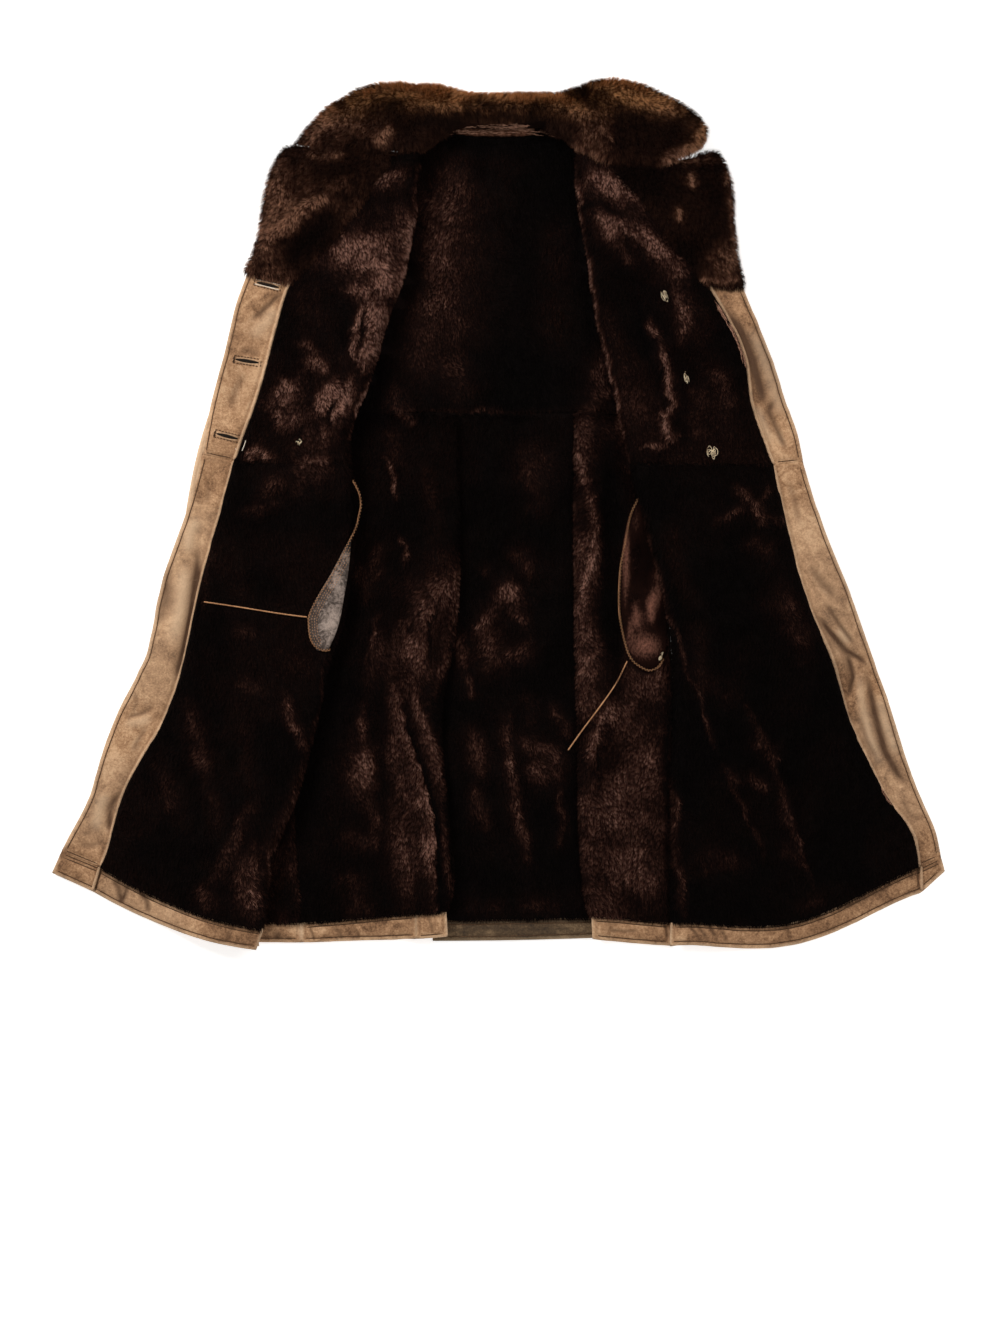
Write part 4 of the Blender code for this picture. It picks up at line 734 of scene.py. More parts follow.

# Soft folds of the pile pieces. Each follows a chain of points from the neck towards the hem, reaches so many mm
# to the west and to the east of it, has a painted highlight (light above 0) or painted shade (light below 0), and
# stands so many mm high.
Fold = namedtuple("Fold", "nodes west east light lift points")
FOLDS = read_table(
    Fold,
    """
back_upper
  26 30 0.42 0 -60.6,442.5 -70.6,392.5 -63.1,330 -73.1,267.5 -88.1,205
  14 16 0.14 0 4.4,452.5 5.6,392.5
  14 16 0.15 0 71.9,347.5 66.9,230
  10 12 0.34 1.5 129.4,205 126.9,170 124.4,140
  7 7 0.36 0 111.9,128.8 129.4,128.8
  14 14 0.28 0 -58.1,190 -53.1,165
  12 12 0.2 0 -93.1,230 -98.1,192.5
  10 12 0.3 0 -128.1,152.5 -123.1,132.5
  22 26 -0.12 0 26.9,405 24.4,155
  12 14 -0.3 0 -85.6,467.5 1.9,465 91.9,467.5
back_skirt
  5 5 0.3 0 -140.6,137.5 -108.1,122.5
front_left_upper
  2.6 1.8 0.62 0 -100.6,436.2 -101.9,398.8 -105.6,372.5 -110.6,345 -116.9,311.2 -123.1,272.5 -131.9,242.5
     -140.6,211.2 -150.6,182.5 -166.9,152.5 -179.4,127.5 -190.6,96.2
  7 3 0.4 1 -106.9,382.5 -113.1,342.5 -119.4,305 -128.1,270
  7 8 0.36 1.6 -155.6,405 -135.6,420 -111.9,423.8
  9 8 0.26 1.2 -123.1,397.5 -118.1,367.5 -125.6,330
  15 14 0.5 2 -213.1,320 -185.6,335 -153.1,332.5 -128.1,322.5
  6 7 0.42 1 -183.1,307.5 -160.6,312.5 -135.6,307.5
  11 12 0.4 0 -138.1,315 -140.6,285
  9 11 0.4 0 -175.6,280 -150.6,288.8
  3 6.5 0.62 1.6 -168.1,265 -176.9,246.2 -181.9,223.8 -180.6,197.5
  7 9 0.76 2.2 -151.9,272.5 -155.6,242.5 -160.6,215 -168.1,190
  4 3 -0.3 -1.6 -165.6,260 -170.6,230 -173.1,205
  7 9 0.62 1.6 -200.6,165 -215.6,147.5 -225.6,125
  4.5 5.5 0.76 2 -195.6,157.5 -201.9,138.8 -203.1,115
  4 6 0.5 1 -188.1,175 -186.9,152.5 -190.6,132.5
  3 2.5 -0.3 -1.5 -203.1,150 -208.1,132.5 -210.6,112.5
  13 13 0.56 1.2 -275.6,142.5 -263.1,151.2 -251.9,162.5
  8 8 0.3 0 -255.6,116.2 -233.1,127.5
  7 7 0.28 0 -273.1,127.5 -268.1,115
  7 5 0.56 1.6 -314.4,70 -296.9,80 -279.4,76.2
  7 7 0.36 0 -231.9,191.2 -220.6,183.8
  6 6 0.24 0 -243.1,213.8 -233.1,206.2
  4 4 -0.25 -2.6 -183.1,370 -198.1,353.8 -215.6,336.2 -231.9,323.8
  3.5 3.5 -0.2 -2 -126.9,446.2 -146.9,421.2 -165.6,396.2 -181.9,372.5
  4 3 0.26 0.8 -175.6,380 -190.6,366.2 -205.6,351.2 -225.6,335
  16 12 0.26 1 -250.6,92.5 -223.1,105 -200.6,95
front_left
  10 8 0.34 1 -253.1,57.5 -233.1,67.5 -209.4,53.8
front_left_upper
  14 10 -0.14 0 -270.6,267.5 -288.1,205 -310.6,117.5
front_left_skirt
  8 7 0.42 1.6 -295.6,21.2 -283.1,32.5 -271.9,47.5
  5 5 0.28 1 -323.1,7.5 -295.6,7.5 -266.9,17.5
  12 12 0.2 0 -253.1,30 -248.1,47.5
  7 7 0.36 0 -320.6,-142.5 -310.6,-143.8
  9 7 0.24 0 -318.1,-208.8 -300.6,-215
  5 8 0.22 0 -363.1,-51.2 -368.1,-107.5
  12 14 0.14 0 -273.1,-157.5 -260.6,-182.5 -223.1,-187.5
  16 16 0.12 0 -341.9,-32.5 -323.1,-107.5
  7 7 0.32 1.8 -388.1,-230 -378.1,-262.5 -370.6,-292.5 -363.1,-327.5
  9 9 0.18 1 -363.1,-327.5 -355.6,-357.5 -350.6,-402.5
  5 6 0.46 2 -266.9,-220 -260.6,-250 -248.1,-275 -239.4,-300
  6 6 0.28 1.6 -243.1,-305 -249.4,-340 -263.1,-372.5 -290.6,-415
  2 2 0.34 0 -220.6,-192.5 -224.4,-232.5 -228.1,-265 -234.4,-295 -245.6,-345 -256.9,-376.2 -271.9,-397.5
     -285.6,-420 -289.4,-457.5 -290.6,-510
  5 8 0.26 2.2 -308.1,-352.5 -330.6,-402.5 -358.1,-455
  11 7 0.42 1.6 -303.1,-415 -309.4,-457.5 -304.4,-500
  6 6 0.28 0 -323.1,-440 -323.1,-477.5
  8 8 0.34 0 -370.6,-472.5 -360.6,-482.5
  10 12 0.18 0 -423.1,-313.8 -415.6,-360
  10 10 0.14 0 -318.1,-270 -313.1,-332.5
side_piece_left
  7 6 0.26 1.5 -250.6,-357.5 -251.9,-420 -248.1,-497.5
back_skirt_left
  2.8 2.4 0.6 1.4 -140.6,71.2 -133.1,55 -129.4,40 -128.1,21.2
  3 2.4 0.36 1.2 -124.4,-22.5 -118.1,-42.5 -114.4,-65
  9 9 0.2 0 -130.6,97.5 -125.6,72.5
  8 8 0.24 0 -170.6,-72.5 -163.1,-97.5
  6 6 0.2 0 -151.9,-40 -150.6,-72.5
  9 9 0.14 0 -85.6,55 -80.6,-32.5
  2.2 3 0.38 1 -144.4,-118.8 -155.6,-130 -159.4,-157.5 -161.9,-187.5
  8 8 0.24 1 -145.6,-132.5 -150.6,-170 -160.6,-220
  22 15 0.46 3.2 -65.6,-67.5 -73.1,-97.5 -89.4,-132.5 -103.1,-170 -110.6,-220
  8 5 0.36 1.6 -54.4,-47.5 -51.9,-97.5 -58.1,-135 -65.6,-172.5 -78.1,-220
  3 3 -0.3 -1.8 -75.6,-107.5 -85.6,-145 -89.4,-187.5
  3 3 -0.22 -1.4 -98.1,-117.5 -110.6,-145
  10 1.8 0.56 2.6 -131.9,-202.5 -126.9,-228.8 -120.6,-251.2 -113.1,-276.2 -105.6,-301.2 -98.1,-326.2
     -90.6,-352.5 -85.6,-376.2 -81.9,-407.5 -79.4,-447.5 -75.6,-492.5
  1.5 5.5 -0.36 -1.8 -119.4,-238.8 -110.6,-270 -101.9,-301.2 -93.1,-332.5 -84.4,-363.8 -78.1,-405
     -74.4,-457.5 -69.4,-492.5
  9 4 0.42 1.4 -110.6,-207.5 -98.1,-247.5 -85.6,-280 -76.9,-310 -71.9,-357.5
back_upper
  2.4 3.5 0.34 0 -108.1,130 -85.6,132.5 -54.4,130 1.9,131.2
  2 2.4 0.2 0 1.9,131.2 76.9,128.8
back_skirt_left
  24 22 0.22 0 -118.1,-252.5 -108.1,-357.5 -103.1,-482.5
  4 3 0.34 1.2 -73.1,-357.5 -65.6,-407.5 -60.6,-457.5 -56.9,-492.5
  12 10 0.36 1.4 -133.1,-263.8 -128.1,-297.5 -129.4,-338.8
  12 10 0.34 1 -125.6,-363.8 -118.1,-420 -113.1,-482.5
  9 4 0.3 1 -108.1,-332.5 -93.1,-382.5 -88.1,-445
  5 5 0.34 1 -170.6,-240 -168.1,-280
  14 14 0.48 2.2 -170.6,-285 -164.4,-312.5 -175.6,-347.5
  9 9 0.34 0 -165.6,-355 -150.6,-380
  10 10 0.32 0 -183.1,-402.5 -160.6,-407.5
  12 12 0.22 0 -185.6,-457.5 -170.6,-495
  8 8 -0.2 -1.8 -143.1,-220 -145.6,-307.5 -140.6,-407.5
back_skirt_centre
  12 12 0.32 0 39.4,72.5 44.4,47.5
  9 9 0.22 0 46.9,35 49.4,15
  8 8 0.32 0 24.4,-50 31.9,-65
  5 5 0.24 0 -20.6,-62.5 -15.6,-67.5
  8 9 0.58 2 1.9,-100 10.6,-92.5 19.4,-103.8
  6 8 0.52 2.2 -0.6,-110 -15.6,-126.2 -29.4,-147.5
  6 6 0.32 1 14.4,-107.5 23.1,-125 35.6,-140
  11 11 0.42 1.4 -13.1,-155 -6.9,-177.5
  8 8 0.32 0.8 16.9,-172.5 34.4,-167.5
  9 7 0.3 0.8 -48.1,-157.5 -40.6,-180
  5 5 0.32 0.8 -39.4,-202.5 -36.9,-222.5
  7 5 0.46 2.2 11.9,-255 9.4,-280 11.9,-302.5 18.1,-330 23.1,-360 30.6,-392.5 35.6,-430
  9 10 0.34 1.2 -30.6,-277.5 -23.1,-315
  7 8 0.28 0 -30.6,-345 -18.1,-387.5
  8 8 0.32 1 36.9,-285 59.4,-292.5
  8 8 0.42 1.2 46.9,-315 53.1,-327.5
  9 9 0.34 1 69.4,-300 76.9,-317.5
  6 6 0.3 1 64.4,-236.2 79.4,-260 94.4,-280
  4.5 4.5 0.28 1 79.4,-345 76.9,-410
  9 9 0.22 0 39.4,-488.8 66.9,-488.8
  9 9 0.18 0 -28.1,-490 1.9,-492.5
  9 9 0.16 0 36.9,-232.5 39.4,-252.5
back_skirt_right
  4 6 0.44 1 101.9,77.5 103.1,45
  5 8 0.24 1 106.9,117.5 109.4,17.5
  6 5 0.46 1.2 116.9,22.5 121.9,-7.5
  1.6 1.6 0.8 1.4 126.9,-5 123.1,-21.2 116.9,-37.5
  2.5 5 0.8 1.6 118.1,-45 111.9,-63.8 106.9,-83.8 101.9,-105
  7 7 0.4 1 126.9,-7.5 121.9,-38.8 114.4,-63.8
  20 12 0.4 0 111.9,-70 111.9,-157.5 114.4,-232.5
  12 14 -0.42 -1.6 136.9,92.5 141.9,-7.5 141.9,-107.5 146.9,-220
  6 6 0.46 1.4 129.4,-242.5 120.6,-276.2 116.9,-317.5
  1.8 1.8 -0.36 -1.2 125.6,-272.5 125.6,-307.5 123.1,-340
  12 12 0.32 1 166.9,-275 191.9,-305
  8 8 0.36 0 136.9,-242.5 141.9,-250
  44 46 0.34 0 154.4,-307.5 156.9,-407.5 159.4,-488.8
  14 12 0.26 1.2 114.4,-320 114.4,-407.5 119.4,-482.5
  9 9 0.3 0 179.4,-420 184.4,-457.5
  7 3 -0.3 -1.2 211.9,-220 213.1,-307.5 216.9,-407.5 219.4,-488.8
front_right_upper
  1.6 3 0.44 0 99.4,460 94.4,440 98.1,405 104.4,361.2 111.9,315 119.4,267.5 126.9,230 140.6,195 145.6,161.2
     150.6,130 156.9,92.5 164.4,65 171.9,27.5
  13 14 0.46 1.6 104.4,412.5 133.1,415 161.9,405 174.4,390
  8 9 0.44 0 154.4,417.5 164.4,402.5
  4 4 0.36 1.6 131.9,432.5 159.4,418.8 178.1,402.5 191.9,380
  4 4 -0.26 -1.6 101.9,382.5 126.9,387.5 154.4,375
  10 12 0.46 1.6 124.4,377.5 136.9,361.2 145.6,345
  2.4 2.4 0.4 1 148.1,360 164.4,348.8 179.4,343.8
  12 7 0.5 2.6 171.9,357.5 189.4,342.5 209.4,325 221.9,305 231.9,287.5
  5 5 0.26 0 149.4,337.5 159.4,321.2
  8 7 0.34 1.4 211.9,290 225.6,267.5 231.9,245 231.9,222.5
  3 4 0.6 1.5 186.9,242.5 191.9,222.5
  8 2.5 -0.26 -2.6 171.9,272.5 178.1,230 188.1,198.8 198.1,176.2 204.4,147.5
  2 6 0.46 2.4 193.1,212.5 203.1,191.2 209.4,162.5 213.1,137.5 205.6,115
  5 5 0.5 1.4 206.9,120 210.6,97.5
  2.5 2.5 0.36 1 174.4,81.2 195.6,87.5 213.1,92.5 223.1,103.8
  8 8 0.24 0 186.9,55 221.9,50
  16 14 0.16 0 146.9,192.5 166.9,142.5 176.9,105
  10 10 0.22 0 276.9,175 286.9,145
  10 10 0.16 0 246.9,152.5 251.9,105
  14 14 -0.16 0 266.9,267.5 296.9,180 314.4,92.5
front_right_skirt
  5 5 0.52 1.8 291.9,32.5 308.1,28.8 316.9,17.5 323.1,8.8
  3.5 3.5 0.34 1.2 338.1,33.8 330.6,23.8 323.1,13.8
  5 5 0.38 1.4 266.9,-8.8 284.4,0 311.9,7.5
  5 5 0.4 1.2 321.9,10 326.9,-6.2
  4 4 0.3 1 331.9,-1.2 354.4,-6.2
  9 8 0.28 0 321.9,-37.5 334.4,-42.5
  11 10 0.3 1.6 346.9,-90 364.4,-122.5 376.9,-147.5 383.1,-172.5
  9 9 0.18 0 334.4,-110 344.4,-120
  1.6 2.4 0.34 0 176.9,11.2 184.4,-20 196.9,-57.5 204.4,-95 216.9,-132.5 229.4,-170 239.4,-207.5
  9 9 0.16 0 214.4,-7.5 221.9,-57.5 244.4,-107.5
  9 9 0.16 0 246.9,-145 251.9,-192.5
  10 10 0.2 0 256.9,-212.5 281.9,-220
  2.2 2.2 0.36 1.6 239.4,-197.5 251.9,-232.5 263.1,-265 271.9,-292.5
  6 2 0.28 2.6 308.1,-237.5 324.4,-262.5 336.9,-282.5 346.9,-305 354.4,-340 364.4,-372.5 376.9,-407.5
     385.6,-435 396.9,-462.5
  6 5 0.3 0 326.9,-282.5 341.9,-295
  2 4.5 0.26 2.2 285.6,-316.2 291.9,-332.5 303.1,-361.2 316.9,-395 329.4,-422.5
  4 4 0.46 1 286.9,-320 299.4,-327.5
  5 5 0.3 1 316.9,-325 331.9,-340
  10 10 0.2 0 241.9,-442.5 271.9,-427.5 306.9,-435
  8 8 0.18 0 359.4,-420 371.9,-430
  8 8 0.18 0 381.9,-488.8 404.4,-477.5
  5 3 0.4 1.4 219.4,-332.5 223.1,-395 226.9,-447.5 233.1,-497.5
lapel_left
  6 8 0.36 3.6 -211.9,397.5 -240.6,382.5 -270.6,357.5 -303.1,325
  18 18 -0.34 -2.2 -193.1,385 -233.1,342.5 -268.1,315
  24 20 0.16 0 -248.1,442.5 -253.1,410 -273.1,372.5
  9 12 0.2 0 -265.6,455 -276.9,415 -285.6,375 -300.6,340
  16 16 -0.14 -1 -240.6,430 -198.1,427.5
  5 5 0.24 0 -308.1,315 -310.6,307.5
  9 9 0.16 1 -210.6,410 -188.1,415
  6 6 0.2 1 -248.1,455 -216.9,447.5 -185.6,452.5
lapel_right
  4 6 0.3 0 279.4,445 286.9,392.5 289.4,342.5 299.4,302.5
  4 4 0.36 0 235.6,421.2 239.4,412.5
  4 4 0.4 0 223.1,378.8 225.6,371.2
  5 5 0.2 0 229.4,440 271.9,442.5
  5 5 0.22 0 251.9,295 295.6,296.2
  16 10 0.22 0 261.9,302.5 286.9,335 299.4,302.5
collar
  9 12 0.4 2 -183.1,512.5 -143.1,530 -73.1,532.5 -10.6,527.5
  7 7 0.3 1.6 -116.9,510 -85.6,515 -35.6,512.5
  8 8 0.38 1.6 -23.1,522.5 26.9,520 76.9,515 109.4,500
  9 9 0.34 2 114.4,535 158.1,532.5 189.4,517.5 226.9,502.5
  6 6 0.18 0 156.9,513.8 179.4,512.5
  5 7 0.4 0 255.6,490 244.4,462.5 221.9,447.5 204.4,438.8
  16 18 0.16 0 -210.6,487.5 -185.6,490 -158.1,495
  8 10 0.3 0 -190.6,512.5 -220.6,490 -245.6,465
  16 16 -0.07 -2 -203.1,467.5 -165.6,485 -128.1,502.5
  20 20 -0.12 -1.6 151.9,480 201.9,477.5
  6 6 0.26 1 -148.1,470 -138.1,478.8
  2 2 0.3 0 126.9,483.8 140.6,466.2
  9 5 -0.24 -2 -123.1,482.5 -85.6,492.5 -35.6,497.5 26.9,497.5 76.9,490
""",
)

# How bright the pile of each piece is painted where no fold catches the light: the painted nap sheen and shade of
# that piece.
PILE_BASE_LIGHT = {
    "back_upper": 0.02,
    "front_left_upper": 0.18,
    "front_right_upper": 0.19,
    "front_left_skirt": 0.13,
    "front_right_skirt": 0.07,
    "back_skirt_left": 0.1,
    "back_skirt_centre": 0.07,
    "back_skirt_right": 0.42,
    "side_piece_left": 0.24,
    "lapel_left": 0.46,
    "lapel_right": 0.11,
    "collar": 0.42,
}

# Seams in the leather, where neither edge gets the pale band of wear and painted highlight.
SEAMS = [
    ((-548.1, -422.5), (-498.1, -443.8)),
    ((519.4, -448.8), (556.9, -427.5)),
    ((-373.1, 71.2), (-323.1, 66.2)),
    ((334.4, 63.8), (379.4, 63.8)),
]

# The overlocked edges of the pocket bags.
OVERLOCK_LEFT = (
    (-181.9, 41.2), (-174.4, 26.2), (-171.9, 11.2), (-174.4, -2.5), (-178.1, -17.5), (-190.6, -42.5),
    (-206.9, -73.8), (-224.4, -102.5), (-235.6, -125), (-236.9, -137.5), (-234.4, -156.2), (-226.9, -167.5),
    (-216.9, -171.2), (-209.4, -170),
)
OVERLOCK_RIGHT = (
    (174.4, 20), (164.4, -2.5), (158.1, -35), (151.9, -70), (150.6, -121.2), (158.1, -162.5), (165.6, -181.2),
    (176.9, -191.2), (189.4, -196.2), (200.6, -191.2), (206.9, -181.2),
)

# Painted highlights on the pocket bags: the middle, half width and height in mm, turn in degrees
# and strength.
Glow = namedtuple("Glow", "x y wide tall turn strength")
POCKET_GLOWS = [
    Glow(183.1, -165, 20, 16, 0, 0.55),
    Glow(193.1, -112.5, 7, 28, -16, 0.7),
    Glow(169.4, -135, 6, 32, -14, 0.5),
    Glow(159.4, -57.5, 5, 56, 0, 0.5),
    Glow(171.9, -7.5, 8, 24, 0, 0.2),
    Glow(200.6, -75, 5, 14, -20, 0.5),
    Glow(-205.6, -135, 18, 30, 0, 0.5),
    Glow(-200.6, -88.8, 12, 34, 14, 0.4),
    Glow(-191.9, -45, 8, 40, 14, 0.3),
]


def crimp(x, y, across, down, seed):
    """Fine wavy ripples of clipped wool, from 0 to 1, highest on their crests, which the pile tone paints bright.
    """
    bend = 3.0 * down * (speckle(x, y, 4.5 * across, seed) - 0.5)
    ripple = speckle(x / across, (y + bend) / down, 1.0, seed + 1)
    return (1 - np.abs(2 * ripple - 1)) ** 2


def lit_by(glows, x, y):
    """How strongly painted light catches each place, from soft round patches."""
    lit = np.zeros(np.shape(x))
    for glow in glows:
        cosine, sine = math.cos(math.radians(glow.turn)), math.sin(math.radians(glow.turn))
        off_x, off_y = x - glow.x, y - glow.y
        across = (off_x * cosine + off_y * sine) / glow.wide
        down = (off_y * cosine - off_x * sine) / glow.tall
        share = glow.strength * np.exp(-(across**2 + down**2))
        lit = np.maximum(lit, share) + 0.12 * share
    return lit


def fold_profile(x, y, fold):
    """How much of a fold is at each place: 1 on its chain, and 0 where it has run out."""
    nearest, share, east = nearest_on(x, y, fold.points)
    reach = np.where(east, fold.east, fold.west)
    reach = reach * (1.0 + 0.25 * soft_step((reach - 3.5) / 4))
    profile = np.exp(-((nearest / reach) ** 2))
    # A lit fold spreads wider, which gives its painted highlight a soft halo.
    if fold.light > 0.05:
        profile = 0.75 * profile + 0.3 * np.exp(-((nearest / (2.5 * reach)) ** 2))
    if len(fold.points) == 2:
        return profile
    return profile * (0.45 + 0.55 * soft_step(share * 5) * soft_step((1 - share) * 5))


LONG_PILE = ("collar", "lapel_left", "lapel_right")


def folds_of(node):
    return [fold for fold in FOLDS if node.startswith(fold.nodes)]


def fold_gain(node):
    """How bright the painted highlights on the folds of a piece are, beside the figure in their table."""
    if node == "collar":
        return 3.3
    if node in LONG_PILE:
        return 2.7
    return 1.95 if node.endswith("t_upper") else 1.45


def wander(x, y, seed):
    """Small shifts in mm that make the edges of the folds uneven."""
    return 8 * (speckle(x, y, 20.0, seed) - 0.5) + 4 * (speckle(x, y, 8.0, seed + 1) - 0.5)


def pile_tone(x, y, node):
    """How light the pile is painted at each place, from 0 to about 1: painted nap sheen, painted highlights on the
    folds and painted shade in the troughs.
    """
    # stir is how far the folds wander, and swing how strongly the crimp shows
    if node in LONG_PILE:
        stir, swing = 0.4, 0.95
        ripples = 0.5 * crimp(x, y, 9.0, 6.0, 191) + 0.5 * crimp(x, y, 5.0, 9.0, 195)
    else:
        stir, swing = 1.0, 0.72
        ripples = 0.5 * crimp(x, y, 6.5, 3.0, 91) + 0.5 * crimp(x, y, 3.0, 7.5, 95)
    bend_x = x + stir * wander(x, y, 5)
    bend_y = y + stir * wander(x, y, 7)
    light = np.zeros(np.shape(x))
    shadow = np.zeros(np.shape(x))
    for fold in folds_of(node):
        profile = fold.light * fold_profile(bend_x, bend_y, fold)
        if fold.light > 0:
            profile = fold_gain(node) * profile
            light = np.maximum(light, profile) + 0.25 * np.minimum(light, profile)
        else:
            shadow = shadow - profile
    base = PILE_BASE_LIGHT[node] * (0.45 + 0.9 * soft_step((cloudy(x, y, 60.0, 11) - 0.36) / 0.3))
    patchy = 0.62 + 0.38 * soft_step((cloudy(x, y, 24.0, 21) - 0.3) / 0.3)
    tone = np.maximum(base, light * patchy + 0.4 * base) * (1 - np.clip(2.6 * shadow, 0, 0.85))
    return np.clip(tone * (1.05 - 0.5 * swing + swing * ripples), 0.015, 1.1)


def golden_light_share(x, y):
    """The collar's top and its east end are painted golden, as the warm light falls on them; the rest is a redder
    brown.
    """
    return np.clip((y - 485) / 35, 0, 0.9) + 0.5 * np.clip((x - 215) / 40, 0, 1) * np.clip((y - 440) / 20, 0, 1)


def nearest_tuft(x, y, size, seed):
    """The middle of the tuft that each hair belongs to, and its distance in mm."""
    column, row = np.floor(x / size), np.floor(y / size)
    nearest = np.full(np.shape(x), FAR)
    middle_x, middle_y = np.zeros(np.shape(x)), np.zeros(np.shape(x))
    for step_x in (-1, 0, 1):
        for step_y in (-1, 0, 1):
            i, j = column + step_x, row + step_y
            place_x = (i + speckle(i, j, 1.0, seed)) * size
            place_y = (j + speckle(i, j, 1.0, seed + 1)) * size
            away = np.hypot(place_x - x, place_y - y)
            closer = away < nearest
            nearest = np.where(closer, away, nearest)
            middle_x, middle_y = np.where(closer, place_x, middle_x), np.where(closer, place_y, middle_y)
    return middle_x, middle_y, nearest


PILE, HIDE, RIM = 0, 1, 2
SHARPEST_BEND = 0.85  # radians between two faces of one side


def part_faces(bm, folded):
    """Marks each face as pile side, hide side or rim. In a folded piece a side goes on round the fold."""
    bm.normal_update()
    if not folded:
        for face in bm.faces:
            face.material_index = PILE if face.normal.z > 0.3 else HIDE if face.normal.z < -0.3 else RIM
        return
    for face in bm.faces:
        face.material_index = RIM
    for mark, way in ((PILE, 1), (HIDE, -1)):
        free = [face for face in bm.faces if face.material_index == RIM and abs(face.normal.z) > 0.7]
        seed = max(free, key=lambda face: way * face.calc_center_median().z * face.normal.z)
        waiting = [seed]
        seed.material_index = mark
        while waiting:
            face = waiting.pop()
            for beside in (other for edge in face.edges for other in edge.link_faces):
                if beside.material_index == RIM and face.normal.angle(beside.normal) < SHARPEST_BEND:
                    beside.material_index = mark
                    waiting.append(beside)


class Shell:
    """A cloth piece on the form of its solid."""

    def __init__(self, cloth, levels):
        self.cloth = cloth
        self.name = cloth.node + "_cloth"
        bm = bmesh.new()
        bm.from_mesh(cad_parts[cloth.node].data)
        bmesh.ops.remove_doubles(bm, verts=bm.verts[:], dist=1e-6)
        part_faces(bm, cloth.node.startswith("front_"))
        bmesh.ops.join_triangles(
            bm, faces=bm.faces[:], cmp_materials=True, angle_face_threshold=0.7, angle_shape_threshold=math.pi
        )
        rough = bpy.data.meshes.new(self.name)
        bm.to_mesh(rough)
        bm.free()
        self.obj = link(bpy.data.objects.new(self.name, rough))
        cells = self.obj.modifiers.new("cells", "SUBSURF")
        cells.subdivision_type = "SIMPLE"
        cells.levels = levels
        shaped = self.obj.evaluated_get(bpy.context.evaluated_depsgraph_get())
        self.obj.data = bpy.data.meshes.new_from_object(shaped)
        self.obj.modifiers.clear()
        self.mesh = self.obj.data
        self.mesh.name = self.name
        self.read()

    def read(self):
        """Reads the mesh, and which of its edges run where two sides meet."""
        mesh = self.mesh
        self.points = numbers_of(mesh.vertices, "co", 3) / MM
        self.edges = numbers_of(mesh.edges, "vertices", 2, int)
        self.marks = numbers_of(mesh.polygons, "material_index", 1, int)
        loop_edges = numbers_of(mesh.loops, "edge_index", 1, int)
        loop_marks = np.repeat(self.marks, numbers_of(mesh.polygons, "loop_total", 1, int))
        lowest = np.full(len(mesh.edges), RIM + 1)
        highest = np.full(len(mesh.edges), -1)
        np.minimum.at(lowest, loop_edges, loop_marks)
        np.maximum.at(highest, loop_edges, loop_marks)
        self.border = lowest != highest
        self.top_border = self.border & (lowest == PILE)

    def update(self):
        set_points(self.mesh, self.points)

    def rest(self):
        """Keeps the cloth off the floor."""
        self.points[:, 2] = np.maximum(self.points[:, 2], LOWEST)
        self.update()

    def even_out(self, rounds):
        """Takes the facets out of the form, and softens its outline without drawing it in."""
        count = len(self.points)
        rim_edges = self.edges[self.border]
        pinned = np.zeros(count, bool)
        pinned[rim_edges.ravel()] = True
        degree = np.bincount(self.edges.ravel(), minlength=count)
        rim_degree = np.bincount(rim_edges.ravel(), minlength=count)
        beside = np.zeros((count, 2, 3))
        filled = np.zeros(count, np.int64)
        for a, b in rim_edges.tolist():
            for place, other in ((a, b), (b, a)):
                if filled[place] < 2:
                    beside[place, filled[place]] = self.points[other]
                    filled[place] += 1
        one, two = beside[:, 0] - self.points, beside[:, 1] - self.points
        lengths = np.linalg.norm(one, axis=1) * np.linalg.norm(two, axis=1) + 1e-9
        smooth_rim = pinned & (rim_degree == 2) & ((one * two).sum(axis=1) / lengths < -0.8)
        for _ in range(rounds):
            middle = self.sum_beside(self.edges) / degree[:, None]
            rim_middle = self.sum_beside(rim_edges) / np.maximum(rim_degree, 1)[:, None]
            moved = np.where(pinned[:, None], self.points, 0.4 * self.points + 0.6 * middle)
            self.points = np.where(smooth_rim[:, None], 0.5 * self.points + 0.5 * rim_middle, moved)
        self.update()

    def sum_beside(self, edges):
        """For each point, the sum of the places at the other ends of its edges."""
        count = len(self.points)
        first, second = edges[:, 0], edges[:, 1]
        total = np.zeros_like(self.points)
        for axis in range(3):
            total[:, axis] += np.bincount(first, self.points[second, axis], minlength=count)
            total[:, axis] += np.bincount(second, self.points[first, axis], minlength=count)
        return total

    def open_neck(self):
        """Draws the collar's lower edge and the binding up at the back of the neck, and the collar's top in."""
        x, y = self.points[:, 0], self.points[:, 1]
        if self.cloth.node == "collar":
            shift = 6.0 * soft_step((74 - np.abs(x)) / 26) * soft_step((506 - y) / 30)
            shift = shift - (1.5 + 3.0 * soft_step((80 - np.abs(x)) / 40)) * soft_step((y - 505) / 20)
        else:
            shift = 4.0 + 4.0 * soft_step((y - y.min()) / (y.max() - y.min()))
        self.points[:, 1] = y + shift
        self.update()

    def fill_seams(self, amount):
        """Pushes the rims out so that no gap shows between one piece and the next."""
        rim = np.zeros(len(self.points), bool)
        rim[self.edges[self.border].ravel()] = True
        normals = self.normals()
        rim |= np.abs(normals[:, 2]) < 0.3
        push = normals * (rim * amount)[:, None]
        push[:, 2] = 0
        self.points = self.points + push
        self.update()

    def normals(self):
        return numbers_of(self.mesh.vertex_normals, "vector", 3)

    def facing_up(self):
        """1 where the cloth faces up, and 0 where it faces sideways or down."""
        return np.clip(self.normals()[:, 2] * 2, 0, 1)

    def press(self, size, amount, seed):
        """Small uneven swells over the pile or leather side."""
        x, y, z = self.points.T
        swell = (cloudy(x + 0.3 * z, y, size, seed) - 0.5) * 2 * amount * self.facing_up()
        self.points = self.points + self.normals() * swell[:, None]
        self.rest()

